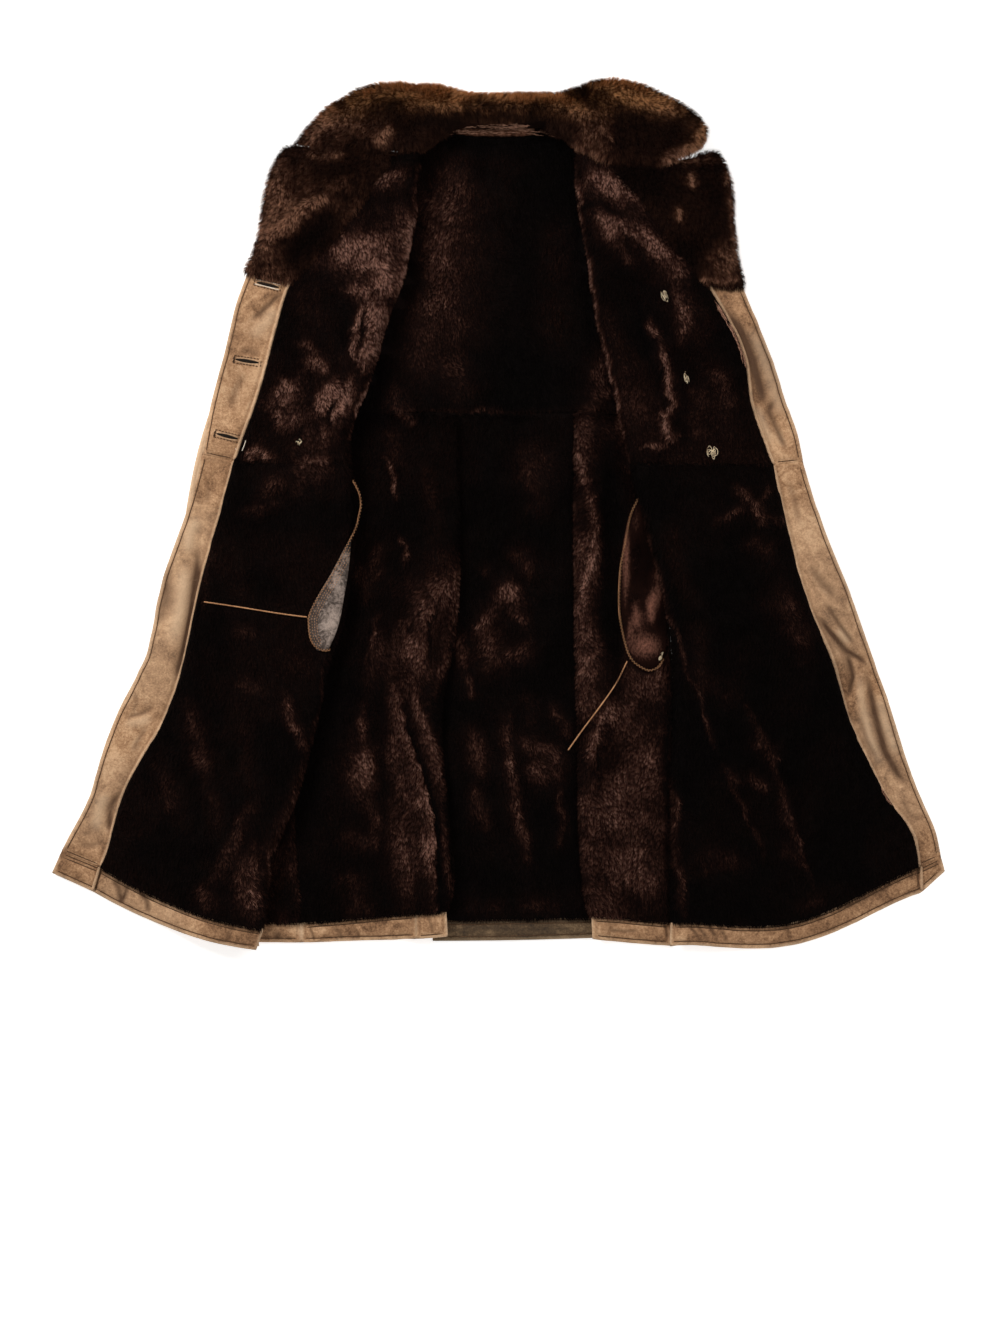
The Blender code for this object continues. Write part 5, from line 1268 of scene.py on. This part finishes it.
    def raise_folds(self):
        """Raises and sinks the folds of the pile."""
        x, y = self.points[:, 0], self.points[:, 1]
        rise = np.zeros(len(x))
        for fold in folds_of(self.cloth.node):
            if fold.lift:
                rise += fold.lift * fold_profile(x, y, fold)
        self.points[:, 2] += np.clip(rise, -4.0, 4.5) * self.facing_up()
        self.rest()

    def crease(self):
        """Presses the creases in, and paints the troughs dark (soil and painted shade) and the ridges light (wear
        and painted highlight).
        """
        x, y = self.points[:, 0], self.points[:, 1]
        facing_up = self.facing_up()
        soil = np.zeros(len(x))
        wear_and_highlight = np.zeros(len(x))
        for crease in CREASES:
            if not self.cloth.node.startswith(crease.nodes):
                continue
            away, share, _ = nearest_on(x, y, crease.points)
            fade = soft_step(share * 4) * soft_step((1 - share) * 4)
            form = np.exp(-((away / crease.width) ** 2)) * fade * facing_up
            self.points[:, 2] += crease.height * form
            # A trough is painted dark (soil and painted shade), a ridge light (wear and painted highlight).
            if crease.height <= 0:
                soil += crease.soil * np.exp(-((away / (0.6 * crease.width)) ** 2)) * fade
            else:
                wear_and_highlight += (crease.soil or 0.5) * form
        self.rest()
        number_layer(self.mesh, "soil", np.clip(soil, 0, 1))
        number_layer(self.mesh, "wear_and_highlight", np.clip(wear_and_highlight, 0, 1))

    def draw_in(self, outline):
        """Draws the west side in to an outline that runs down the piece."""
        outline = np.array(outline)[::-1]
        x, y = self.points[:, 0], self.points[:, 1]
        edge = np.interp(y, outline[:, 1], outline[:, 0])
        reached = y > outline[0, 1]
        self.points[:, 0] = np.where(reached, np.maximum(x, edge - 1.0), x)
        self.update()

    def paint_edges_and_grooves(self):
        """Paints the leather pale along its edges (wear and painted highlight) and presses a shallow groove where
        it is stitched, painted darker as shade.
        """
        x, y = self.points[:, 0], self.points[:, 1]
        away = np.full(len(x), FAR)
        for place_x, place_y, _ in self.points[np.unique(self.edges[self.top_border])]:
            away = np.minimum(away, np.hypot(x - place_x, y - place_y))
        wear_and_highlight, soil = (numbers_of(self.mesh.attributes[name].data, "value") for name in ("wear_and_highlight", "soil"))
        pale = np.exp(-((away / 2.6) ** 2)) * 0.75 * (0.4 + cloudy(x, y, 18.0, 55))
        for seam in SEAMS:
            pale *= 1 - np.exp(-((nearest_on(x, y, seam)[0] / 6) ** 2))
        # The stitch groove is painted darker: painted shade.
        groove = np.exp(-(((away - 5.5) / 1.6) ** 2))
        number_layer(self.mesh, "wear_and_highlight", np.clip(wear_and_highlight + pale, 0, 1))
        number_layer(self.mesh, "soil", np.clip(soil + 0.3 * groove, 0, 1))
        self.points[:, 2] -= 0.45 * groove * self.facing_up()
        self.update()

    def finish(self, finishes):
        """Puts on the materials of the pile side, the hide side and the rim, and hides the solid that it stands
        for.
        """
        self.mesh.materials.clear()
        for finish in finishes:
            self.mesh.materials.append(finish)
        self.mesh.shade_smooth()
        self.tree = tree_of([self])
        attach(self.obj, "root")
        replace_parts(self.obj, self.cloth.node)

    def declare(self, with_pieces=()):
        """Does nothing."""

    def top_sides(self):
        """The four sides of the upper face's outline, each an ordered chain with the cloth on its left."""
        chain = ordered_loop(self.edges[self.top_border], self.points)
        chain = even_chain(np.vstack([chain, chain[:1]]), 1.5)[:-1]
        x, y = chain[:, 0], chain[:, 1]
        if np.sum(x * np.roll(y, -1) - np.roll(x, -1) * y) < 0:
            chain = chain[::-1]
        reach = 7  # places each way over which a corner turns
        ahead = np.roll(chain, -reach, axis=0)[:, :2] - chain[:, :2]
        behind = chain[:, :2] - np.roll(chain, reach, axis=0)[:, :2]
        turn = np.abs(
            np.arctan2(ahead[:, 0] * behind[:, 1] - ahead[:, 1] * behind[:, 0], (ahead * behind).sum(axis=1))
        )
        corners = []
        for place in np.argsort(-turn):
            gaps = [min(abs(place - other), len(chain) - abs(place - other)) for other in corners]
            if all(gap > 2 * reach for gap in gaps):
                corners.append(place)
            if len(corners) == 4:
                break
        corners = sorted(corners)
        sides = []
        for start, end in zip(corners, corners[1:] + [corners[0] + len(chain)]):
            sides.append(chain[np.arange(start, end + 1) % len(chain)])
        return sides

    def side_near(self, x, y):
        """The side whose middle is nearest to a place."""
        return min(self.top_sides(), key=lambda side: math.dist(side[len(side) // 2][:2], (x, y)))

    def inside(self, side, inset):
        """A chain that runs inset mm inside a side."""
        return side[:, :2] + left_of(side) * inset

    def drop(self, chain, lift):
        """Lays a chain of x, y places on this cloth."""
        return lay_on(self.tree, chain, lift)


def ordered_loop(edges, points):
    """The longest chain of edges, as an ordered run of points."""
    beside = {}
    for a, b in edges.tolist():
        beside.setdefault(a, []).append(b)
        beside.setdefault(b, []).append(a)
    seen = set()
    best = []
    for start in beside:
        if start in seen:
            continue
        loop = [start]
        seen.add(start)
        place = start
        while True:
            ahead = [other for other in beside[place] if other not in seen]
            if not ahead:
                break
            place = ahead[0]
            seen.add(place)
            loop.append(place)
        if len(loop) > len(best):
            best = loop
    return points[best]


SHELLS = {}


def sew_fur(shell):
    """Evens out a piece of shearling, raises its folds, and colours its pile with painted light and shade."""
    node = shell.cloth.node
    shell.even_out(10)
    if node == "collar":
        shell.open_neck()
        ends = soft_step((np.abs(shell.points[:, 0]) - 72) / 26) * (shell.normals()[:, 1] < 0.3)
        shell.fill_seams(0.5 + 2.1 * ends)
    else:
        shell.fill_seams(2.6 if node == "lapel_left" else 0.9)
    shell.raise_folds()
    shell.press(34.0, 1.3, 41)
    shell.press(12.0, 1.0, 43)
    x, y = shell.points[:, 0], shell.points[:, 1]
    number_layer(shell.mesh, "tone", 0.4 * pile_tone(x, y, node))
    number_layer(shell.mesh, "golden_light", golden_light_share(x, y) * (node == "collar"))
    fur = FINISHES[shell.cloth.finish]
    shell.finish([fur, FINISHES["leather_tan"], fur])


def sew_leather(shell):
    """Evens out a leather piece, creases it, and rubs its edges."""
    node = shell.cloth.node
    finish = FINISHES[shell.cloth.finish]
    shell.even_out(8)
    if node == "neck_binding":
        shell.open_neck()
    shell.fill_seams(0.7)
    if not node.startswith("pocket_bag"):
        shell.press(46.0, 1.3, 51)
        shell.press(15.0, 0.6, 53)
    shell.crease()
    shell.paint_edges_and_grooves()
    if node == "pocket_bag_left":
        shell.draw_in(OVERLOCK_LEFT[2:9])
    x, y = shell.points[:, 0], shell.points[:, 1]
    if node.startswith("pocket_bag"):
        # Both bags get painted highlights; the left one is darker towards its top.
        dim = 0.9 * soft_step((y + 52) / 22) if node == "pocket_bag_left" else 0.0
        number_layer(shell.mesh, "tone", 0.06 + lit_by(POCKET_GLOWS, x, y) - dim)
    if node == "neck_binding":
        # The binding's lower part is painted near-black, the shadow under the collar; it is darker towards its
        # ends, with crimp lines over it.
        soil = 0.9 * soft_step((0.7 * y.min() + 0.3 * y.max() - y) / 4)
        soil += 1.2 * soft_step((np.abs(x + 2) - 36) / 22) + 0.35 * crimp(x, y, 2.0, 9.0, 61)
        number_layer(shell.mesh, "soil", soil)
        number_layer(shell.mesh, "wear_and_highlight", np.zeros(len(y)))
        finish = RAW_EDGE
    shell.finish([finish] * 3)


def sew_cloth():
    """Makes every cloth piece. The back and the leather are cut finer, because they show their form most."""
    for cloth in CLOTHS:
        furry = cloth.finish.startswith("fur")
        coarse = cloth.node.startswith(("sleeve", "pocket")) or furry and cloth.node != "back_upper"
        SHELLS[cloth.node] = shell = Shell(cloth, 2 if coarse else 3)
        if furry:
            sew_fur(shell)
        else:
            sew_leather(shell)


sew_cloth()

# ---------------------------------------------------------------- pile

# Hairs: their length and width in mm, how many stand on a square mm, how far they lean in degrees, the
# width of a tuft in mm, and how much of the way to its middle they are drawn.
Pile = namedtuple("Pile", "length width density lean clump reach")
SPARSE = ("back_upper", "front_right_skirt", "front_left_skirt", "back_skirt_centre")
CLEAR_OF_HIDE = 1.5  # mm, where the looks outward start
ROOM_FOR_PILE = 9.0  # mm that have to be free over the hide
HIGHEST = 70.0  # mm, past the top of the coat
BODY_PILE = Pile(6.2, 0.95, 0.72, 56.0, 4.6, 0.4)
COLLAR_PILE = Pile(8.5, 0.9, 1.2, 44.0, 5.5, 0.35)


def triangles_of(shell):
    """The corners of each triangle of a cloth, and the side that it is on."""
    shell.mesh.calc_loop_triangles()
    triangles = shell.mesh.loop_triangles
    faces = numbers_of(triangles, "polygon_index", 1, int)
    return numbers_of(triangles, "vertices", 3, int), shell.marks[faces]


def in_view(middles, normals, tree):
    """Which places of the pile can be seen: nothing lies close over them or before them."""
    seen = np.zeros(len(middles), bool)
    for place, (middle, normal) in enumerate(zip(middles, normals)):
        start = Vector(middle + normal * CLEAR_OF_HIDE)
        if tree.ray_cast(start, Vector(normal), ROOM_FOR_PILE)[0] is None:
            upward = Vector((normal[0] * 0.8, normal[1] * 0.8, 1.0)).normalized()
            seen[place] = tree.ray_cast(start, upward, HIGHEST)[0] is None
    return seen


def off_pieces(tips, start_of_name):
    """Which hairs end beside the leather pieces of that name, not over them."""
    tree = tree_of(shell for node, shell in SHELLS.items() if node.startswith(start_of_name))
    return np.array([height_at(tree, x, y) is None for x, y, _ in tips.tolist()])


def scatter(shell, pile, tree, random):
    """Roots of hairs, spread evenly over what shows of the pile side, and the way that the hide faces there."""
    corners, marks = triangles_of(shell)
    triangle = shell.points[corners]
    face_normals = np.cross(triangle[:, 1] - triangle[:, 0], triangle[:, 2] - triangle[:, 0])
    areas = np.linalg.norm(face_normals, axis=1) / 2
    face_normals /= 2 * areas[:, None] + 1e-12
    places = np.flatnonzero((marks != HIDE) & (face_normals[:, 2] > -0.75))
    places = places[in_view(triangle[places].mean(axis=1), face_normals[places], tree)]
    weights = areas[places]
    count = int(weights.sum() * pile.density)
    chosen = places[random.choice(len(places), count, p=weights / weights.sum())]
    share = random.random((count, 2))
    flip = share.sum(axis=1) > 1
    share[flip] = 1 - share[flip]
    weight = np.stack([1 - share.sum(axis=1), share[:, 0], share[:, 1]], axis=1)[..., None]
    normal = (shell.normals()[corners[chosen]] * weight).sum(axis=1)
    return (triangle[chosen] * weight).sum(axis=1), normal / np.linalg.norm(normal, axis=1)[:, None]


def flattened(ways, normal):
    """Ways with their part along the normal taken out, so that they run along the hide."""
    return ways - normal * (ways * normal).sum(axis=1)[:, None]


def comb(root, normal, pile, random):
    """Tips of hairs that lean down the coat, in swirls, and draw together in small tufts."""
    x, y = root[:, 0], root[:, 1]
    count = len(root)
    turn = 1.9 * (cloudy(x, y, 60.0, 61) - 0.5) + 1.5 * (cloudy(x, y, 14.0, 63) - 0.5)
    turn = turn + random.normal(0, 0.22, count)
    nap = flattened(np.stack([np.sin(turn), -np.cos(turn), np.zeros(count)], axis=1), normal)
    nap /= np.linalg.norm(nap, axis=1)[:, None] + 1e-9
    lean = np.radians(pile.lean + 22 * (cloudy(x, y, 18.0, 67) - 0.5) + random.normal(0, 7, count))
    direction = normal * np.cos(lean)[:, None] + nap * np.sin(lean)[:, None]
    middle_x, middle_y, _ = nearest_tuft(x, y, pile.clump, 71)
    gather = np.stack([middle_x - x, middle_y - y, np.zeros(count)], axis=1) * pile.reach
    length = pile.length * (0.75 + 0.5 * cloudy(x, y, 16.0, 79)) * random.uniform(0.8, 1.15, count)
    tip = root + direction * length[:, None] + flattened(gather, normal)
    tip[:, 2] = np.clip(tip[:, 2], 2 * LOWEST, PILE_TOP)
    return tip


def hair_corners(root, tip, normal, pile, random):
    """The corners of one slim triangle for each hair, turned a little about its own length."""
    along = tip - root
    along /= np.linalg.norm(along, axis=1)[:, None]
    aside = np.cross(along, normal)
    aside /= np.linalg.norm(aside, axis=1)[:, None] + 1e-9
    lift = np.cross(aside, along)
    roll = random.normal(0, 0.5, len(root))
    aside = aside * np.cos(roll)[:, None] + lift * np.sin(roll)[:, None]
    half = (pile.width * random.uniform(0.35, 0.65, len(root)))[:, None]
    root = root - normal * 0.4
    return np.stack([root - aside * half, root + aside * half, tip], axis=1).reshape(-1, 3)


def grow_pile(shell, pile, tree, seed):
    """Short hairs over the pile side."""
    node = shell.cloth.node
    random = np.random.default_rng(seed)
    root, normal = scatter(shell, pile, tree, random)
    tip = comb(root, normal, pile, random)
    if node.startswith("front") or node == "collar":
        kept = off_pieces(tip, "neck_binding" if node == "collar" else "facing")
        root, tip, normal = root[kept], tip[kept], normal[kept]
    corners = hair_corners(root, tip, normal, pile, random)
    count = len(root)
    mesh = bpy.data.meshes.new(node + "_pile")
    mesh.vertices.add(count * 3)
    mesh.loops.add(count * 3)
    mesh.polygons.add(count)
    mesh.vertices.foreach_set("co", (corners * MM).ravel())
    mesh.loops.foreach_set("vertex_index", np.arange(count * 3, dtype=np.int32))
    mesh.polygons.foreach_set("loop_start", np.arange(0, count * 3, 3, dtype=np.int32))
    mesh.update(calc_edges=True)
    x, y = root[:, 0], root[:, 1]
    # Each tuft is painted darker towards its edge, as shade where the pile parts; each hair is darker at its root
    # than at its tip.
    middle_x, middle_y, away = nearest_tuft(x, y, pile.clump, 71)
    tuft = (0.85 + 0.3 * speckle(middle_x, middle_y, 1.0, 83)) * (1.12 - 0.4 * away / pile.clump)
    tone = pile_tone(x, y, node) * tuft * random.uniform(0.72, 1.28, count)
    number_layer(mesh, "tone", np.stack([tone * 0.35, tone * 0.35, tone * 1.25], axis=1).ravel())
    number_layer(mesh, "golden_light", np.repeat(golden_light_share(x, y) * (node == "collar"), 3))
    mesh.materials.append(FINISHES[shell.cloth.finish])
    hairs = link(bpy.data.objects.new(node + "_pile", mesh))
    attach(hairs, "root")
    return hairs


def grow_all():
    tree = tree_of(SHELLS.values())
    for seed, (node, shell) in enumerate(SHELLS.items()):
        if shell.cloth.finish.startswith("fur"):
            pile = COLLAR_PILE if shell.cloth.finish == "fur_collar" else BODY_PILE
            if node in SPARSE:
                pile = pile._replace(density=0.8 * pile.density)
            hairs = grow_pile(shell, pile, tree, 100 + seed)
            shell.declare([hairs])


grow_all()

# ---------------------------------------------------------------- sewing


def stitches(name, runs, finish, length, gap, radius):
    """Rows of single stitches of thread. runs are chains of x, y, z places, and the sizes are in mm."""
    rows = Gather()
    for run in runs:
        if len(run) < 4:
            continue  # too short for a stitch
        run = even_chain(run, (length + gap) / 4)
        for start in range(0, len(run) - 4, 4):
            path = run[start : start + 4].copy()
            path[[0, -1], 2] -= 0.5
            rows.tube(path, radius, 4, 0.8, 0.6)
    return rows.piece(name, finish, "thread")


# Rows of stitches: how many mm inside a side of the cloth they run, and a place near the middle of that side.
Row = namedtuple("Row", "nodes inset points")
TOPSTITCHES = read_table(
    Row,
    """
facing_left_upper
  5 -345.6,192.5
facing_right_upper
  5 345.6,177.5
facing_left_lower
  5 -463.1,-182.5
facing_right_lower
  5 461.9,-182.5
facing_left_upper
  3 -348.1,70
facing_right_upper
  3 360.6,62.5
facing_left_lower
  3 -521.9,-431.2
facing_right_lower
  3 543.1,-436.2
hem_front_left
  3 -410.6,-488.8
  7 -410.6,-488.8
  5 -435.6,-501.2
hem_front_right
  3 401.9,-488.8
  7 401.9,-488.8
  5 376.9,-538.8
hem_back_left
  3 -160.6,-507.5
  7 -160.6,-507.5
  5 -160.6,-536.2
hem_back_left_turn
  3 -78.1,-501.2
  4 -78.1,-530
hem_side_left
  3 -273.1,-513.8
  5 -273.1,-536.2
hem_back_centre
  3 26.9,-510
  7 26.9,-510
  5 26.9,-532.5
hem_back_right
  3 164.4,-507.5
  7 164.4,-507.5
  5 164.4,-537.5
""",
)
# The facings' inner edges are rolled over a cord.
ROLLED = read_table(
    Row,
    """
facing_left_upper
  1.2 -304.4,192.5
facing_left_lower
  1.2 -410.6,-182.5
facing_right_upper
  1.2 320.6,167.5
facing_right_lower
  1.2 414.4,-182.5
""",
)


# The hem's ends are rolled too, at the front corners.
HEM_CORNERS = (
    ("hem_front_left", ((-499.4, -440), (-504.4, -456.2), (-510, -473.8))),
    ("hem_front_right", ((529.4, -422.5), (530, -447.5), (530.6, -471.2))),
)


def along_side(row, trim, lift):
    """A chain along one side of a cloth, without its trim places at each end."""
    shell = SHELLS[row.nodes[0]]
    chain = shell.inside(shell.side_near(*row.points[0]), row.inset)
    return shell.drop(chain[trim : len(chain) - trim], lift)


def sew_edges():
    """Stitches the edges of the leather, lays painted shade in their stitch grooves, and rolls the inner edges of
    the facings.
    """
    runs = [along_side(row, 4, 0.25) for row in TOPSTITCHES]
    stitches("topstitching", runs, DARK_THREAD, 3.2, 1.3, 0.5)
    groove_shades = Gather()
    for run in runs:
        run = even_chain(run, 6.0)
        run[:, 2] -= 0.05
        groove_shades.tube(run, 0.62, 4, 0.6)
    groove_shades.piece("stitch_groove_shades", GROOVE_SHADE, "leather_tan")
    rolls = Gather()
    for node, chain in HEM_CORNERS:
        rolls.tube(SHELLS[node].drop(smooth_chain(chain, 1.5), 0.9), 1.8, 10, 0.8)
    for row in ROLLED:
        rolls.tube(even_chain(along_side(row, 0, 0.2), 3.0), 2.3, 10, 0.9)
    piece = rolls.piece("rolled_edges", FINISHES["leather_tan"], "leather_tan")
    # The rolled edges are painted lighter all over: wear and painted highlight on the roll.
    number_layer(piece.data, "soil", np.zeros(len(piece.data.vertices)))
    number_layer(piece.data, "wear_and_highlight", np.full(len(piece.data.vertices), 0.45))


sew_edges()

# The two ends of each buttonhole.
Buttonhole = namedtuple("Buttonhole", "x0 y0 x1 y1")
BUTTONHOLES = [
    Buttonhole(-303.1, 288.8, -271.9, 281.2),
    Buttonhole(-329.4, 192.5, -296.9, 187.5),
    Buttonhole(-353.1, 100, -323.1, 92.5),
]


def cut_buttonholes():
    """Slits filled with a near-black painted shadow, with raised lips and a stitched frame."""
    shell = SHELLS["facing_left_upper"]
    slit_shadows, lips, piping, bars = Gather(), Gather(), Gather(), Gather()
    frames = []
    for hole in BUTTONHOLES:
        start, end = np.array((hole.x0, hole.y0)), np.array((hole.x1, hole.y1))
        run = end - start
        ahead = run / np.linalg.norm(run)
        aside = np.array((-ahead[1], ahead[0]))

        def along(low, high, count, off):
            """A line down the hole between two shares of its length, off mm to its left."""
            return start + np.linspace(low, high, count)[:, None] * run + off * aside

        def across(share, half, count):
            """A line across the hole, half mm to each side."""
            return start + share * run + np.linspace(-half, half, count)[:, None] * aside

        middle = along(0.04, 0.96, 24, 0.0)
        open_by = 2.1 * np.sin(np.pi * np.linspace(0.04, 0.96, 24)) ** 0.6
        slit_shadows.tube(shell.drop(middle, -0.1), np.maximum(open_by, 0.2), 8, 0.5, 0.3)
        for way in (-1, 1):
            edge = middle + way * aside * (open_by + 0.9)[:, None]
            lips.tube(shell.drop(edge, 0.1), 0.95, 8, 0.75, 0.4)
        frames += [shell.drop(along(-0.02, 1.02, 30, off), 0.55) for off in (-4.6, 4.6)]
        frames += [shell.drop(across(share, 4.4, 12), 0.6) for share in (-0.03, 1.02)]
        if hole is BUTTONHOLES[0]:
            for off, radius in ((-2.6, 0.8), (3.6, 0.5)):
                piping.tube(shell.drop(along(0.0, 0.98, 24, off), 0.3), radius, 5, 0.8, 0.5)
        else:
            bars.tube(shell.drop(across(0.0, 4.2, 8), 0.4), 0.7, 6, 0.8, 0.5)
    piping.piece("buttonhole_piping", PALE_THREAD, "thread")
    bars.piece("buttonhole_bars", DARK_THREAD, "thread")
    slit_shadows.piece("buttonhole_slit_shadows", SLIT_SHADOW, "leather_tan")
    piece = lips.piece("buttonhole_lips", FINISHES["leather_tan"], "leather_tan")
    number_layer(piece.data, "wear_and_highlight", np.full(len(piece.data.vertices), 0.3))
    stitches("buttonhole_stitching", frames, DARK_THREAD, 2.4, 1.6, 0.5)


cut_buttonholes()


def sew_pockets():
    """Overlocked edges of the pocket bags, and the rows of stitching inside the left one."""
    for side, outline in (("left", OVERLOCK_LEFT), ("right", OVERLOCK_RIGHT)):
        shell = SHELLS["pocket_bag_" + side]
        path = smooth_chain(outline, 2.0)
        inward = left_of(path)
        if ((path.mean(axis=0) - path) * inward).sum() < 0:
            inward = -inward
        inner = shell.drop(path + inward * 1.6, 0.0)
        steps = np.arange(len(path))
        height = np.interp(steps, np.linspace(0, len(path) - 1, len(inner)), inner[:, 2])
        zigzag = np.where(steps % 2 == 0, 1.9, -0.7)
        lock = Gather()
        lock.tube(np.column_stack([path + inward * zigzag[:, None], height + 0.5]), 0.42, 5, 1.0, 0.5)
        lock.tube(np.column_stack([path - inward * 0.2, height - 0.4]), 0.26, 4, 1.2, 0.5)
        lock.piece("pocket_overlock_" + side, FINISHES["thread"], "thread")
        if side == "right":
            continue
        rows = []
        for inset in (4.6, 7.6, 10.6):
            trim = int(3 + inset / 2)
            rows.append(shell.drop((path + inward * inset)[trim:-trim], 0.15))
        stitches("pocket_rows_" + side, rows, FINISHES["thread"], 2.4, 1.2, 0.3)


sew_pockets()

# Knots: half width and height in mm, turn in degrees, and the number of loops.
Tangle = namedtuple("Tangle", "node wide tall turn loops")
TANGLES = [
    Tangle("stay_knot_left", 4.6, 5.6, 0, 6),
    Tangle("stay_knot_right_top", 4.8, 8.6, 28, 9),
    Tangle("stay_knot_right_middle", 3.4, 7.8, 10, 6),
    Tangle("stay_knot_right_low", 7.4, 8.4, 0, 12),
    Tangle("pocket_knot_right", 3.2, 6.2, -20, 6),
]


def tie_knots():
    """Each stay knot is a small tangle of pale thread with loose ends."""
    for seed, tangle in enumerate(TANGLES):
        middle, _ = middle_and_top(tangle.node)
        random = np.random.default_rng(300 + seed)
        cosine, sine = math.cos(math.radians(tangle.turn)), math.sin(math.radians(tangle.turn))
        thread = Gather()
        for _ in range(tangle.loops):
            phase = random.uniform(0, 2 * np.pi)
            along = phase + np.linspace(0, 2 * np.pi * random.uniform(0.35, 0.9), 12)
            spread = random.uniform(0.3, 0.75)
            squeeze = random.uniform(0.4, 1.0)
            x = tangle.wide * (spread * squeeze * np.cos(along) + random.uniform(-0.5, 0.5))
            y = tangle.tall * (spread * np.sin(along) + random.uniform(-0.45, 0.45))
            z = middle[2] + 1.2 * np.sin(along * 2 + phase) + random.uniform(-0.4, 1.8)
            points = np.column_stack([middle[0] + x * cosine - y * sine, middle[1] + x * sine + y * cosine, z])
            thread.tube(points, random.uniform(0.34, 0.5), 5, 1.0, 0.5)
        piece = thread.piece(tangle.node + "_thread", KNOT_THREAD, "thread")
        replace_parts(piece, tangle.node)


tie_knots()


# Rings of a button from its back over its rim to its face: radius, and depth below the top of its solid.
BUTTON_RINGS = (
    (11.0, 4.8),
    (13.4, 3.6),
    (14.0, 1.8),
    (13.7, 0.7),
    (12.4, 0.0),
    (10.4, 0.3),
    (9.0, 0.7),
    (6.5, 0.3),
)


def turn_buttons():
    """Horn buttons with a rounded rim and a dished face."""
    sides = 40
    turns = 2 * np.pi * np.arange(sides) / sides
    rings = len(BUTTON_RINGS)
    last = 1 + rings * sides
    for tangle in TANGLES[:4]:
        node = tangle.node.replace("stay_knot", "button")
        middle, top = middle_and_top(node)
        points = [(middle[0], middle[1], top - 4.8)]
        for radius, depth in BUTTON_RINGS:
            ring_x, ring_y = middle[0] + radius * np.cos(turns), middle[1] + radius * np.sin(turns)
            points += [(x, y, top - depth) for x, y in zip(ring_x, ring_y)]
        points.append((middle[0], middle[1], top - 0.3))
        faces = []
        for step in range(sides):
            beside = (step + 1) % sides
            faces.append((0, 1 + beside, 1 + step))
            faces.append((last, last - sides + step, last - sides + beside))
            for start in range(1, last - sides, sides):
                faces.append((start + step, start + beside, start + sides + beside, start + sides + step))
        disc = Gather()
        disc.add(points, faces)
        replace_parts(disc.piece(node + "_disc", FINISHES["horn"], "horn"), node)


turn_buttons()


# Frayed places: the number of threads, their radius, how far they spread in mm, and the chain that they lie
# along. They are the raw seam between collar and back, and the interlining beside the right facing.
Fringe = namedtuple("Fringe", "strands thick spread points")
FRINGES = [
    Fringe(60, 0.45, 4.0, ((-65.6, 476.2), (-35.6, 480), (1.9, 480), (29.4, 480), (58.1, 477.5), (71.9, 475))),
    Fringe(34, 0.6, 2.6, ((-15.6, 482.5), (9.4, 483.8), (39.4, 482.5))),
    Fringe(48, 0.6, 1.8, ((268.1, 265), (279.4, 247.5), (291.9, 227.5), (301.9, 203.8), (308.1, 181.2))),
    Fringe(7, 0.4, 1.2, ((479.4, -342.5), (485.6, -355), (491.9, -365))),
]


def fray_seams():
    """Short threads lying along the raw seams."""
    cover = tree_of(SHELLS.values())
    random = np.random.default_rng(500)
    strands = Gather()
    for fringe in FRINGES:
        line = even_chain(smooth_chain(fringe.points, 1.0), 3.0)
        aside = left_of(line)
        for _ in range(fringe.strands):
            start = int(random.integers(0, max(1, len(line) - 3)))
            end = min(start + int(random.integers(3, 8)), len(line))
            if end - start < 3:
                continue
            off = random.uniform(-1, 1) * fringe.spread + random.normal(0, 0.5, end - start)
            path = lay_on(cover, line[start:end] + aside[start:end] * off[:, None], random.uniform(1.0, 3.2))
            strands.tube(path, fringe.thick * random.uniform(0.7, 1.2), 4)
    strands.piece("seam_fraying", FRAYED, "thread")


fray_seams()


def loose_threads():
    """Loose ends of thread at the lowest buttonhole: on which cloth, how high over it, and where."""
    ends = Gather()
    for node, lift, chain in (
        ("facing_left_upper", 0.6, ((-328.1, 81.2), (-323.1, 77.5), (-315.6, 80))),
        ("front_left_upper", 3.4, ((-314.4, 91.2), (-316.9, 83.8), (-319.4, 77.5))),
    ):
        ends.tube(SHELLS[node].drop(smooth_chain(chain, 1.0), lift), 0.5, 5)
    ends.piece("loose_threads", PALE_THREAD, "thread")


loose_threads()

for shell in SHELLS.values():
    if not shell.cloth.finish.startswith("fur"):
        shell.declare()

# ---------------------------------------------------------------- floor and light


# Square lamps that face the coat: their places and size in metres, and their power in watts.
Softbox = namedtuple("Softbox", "name x y z size power tint")
SOFTBOXES = (
    Softbox("key_softbox", -2.1, 1.6, 1.9, 0.9, 72, (1.0, 0.97, 0.93)),
    Softbox("fill_softbox", 2.1, 0.9, 2.2, 1.2, 30, (1.0, 0.96, 0.92)),
    Softbox("low_softbox", 0.3, -2.6, 2.2, 1.4, 9, (1.0, 0.98, 0.96)),
)


def set_stage():
    """Lays the coat on a wide pale floor, in even light from all round and from three lamps."""
    floor_mesh = bpy.data.meshes.new("pale_floor")
    floor_mesh.from_pydata([(-40, -40, 0), (40, -40, 0), (40, 40, 0), (-40, 40, 0)], [], [(0, 1, 2, 3)])
    floor_mesh.materials.append(floor_finish())
    floor = link(bpy.data.objects.new("pale_floor", floor_mesh))
    floor.location.z = -0.0004
    world = bpy.data.worlds.new("studio")
    world.use_nodes = True
    world.node_tree.nodes["Background"].inputs["Color"].default_value = (1.0, 0.98, 0.95, 1.0)
    world.node_tree.nodes["Background"].inputs["Strength"].default_value = 0.34
    bpy.context.scene.world = world
    for box in SOFTBOXES:
        light = bpy.data.lights.new(box.name, "AREA")
        light.shape = "SQUARE"
        light.size = box.size
        light.energy = box.power
        light.color = box.tint
        lamp = link(bpy.data.objects.new(box.name, light))
        lamp.location = (box.x, box.y, box.z)
        aim = Vector((0.0, -0.05, 0.0)) - lamp.location
        lamp.rotation_euler = aim.to_track_quat("-Z", "Y").to_euler()


set_stage()
bpy.context.scene.view_settings.view_transform = "Standard"
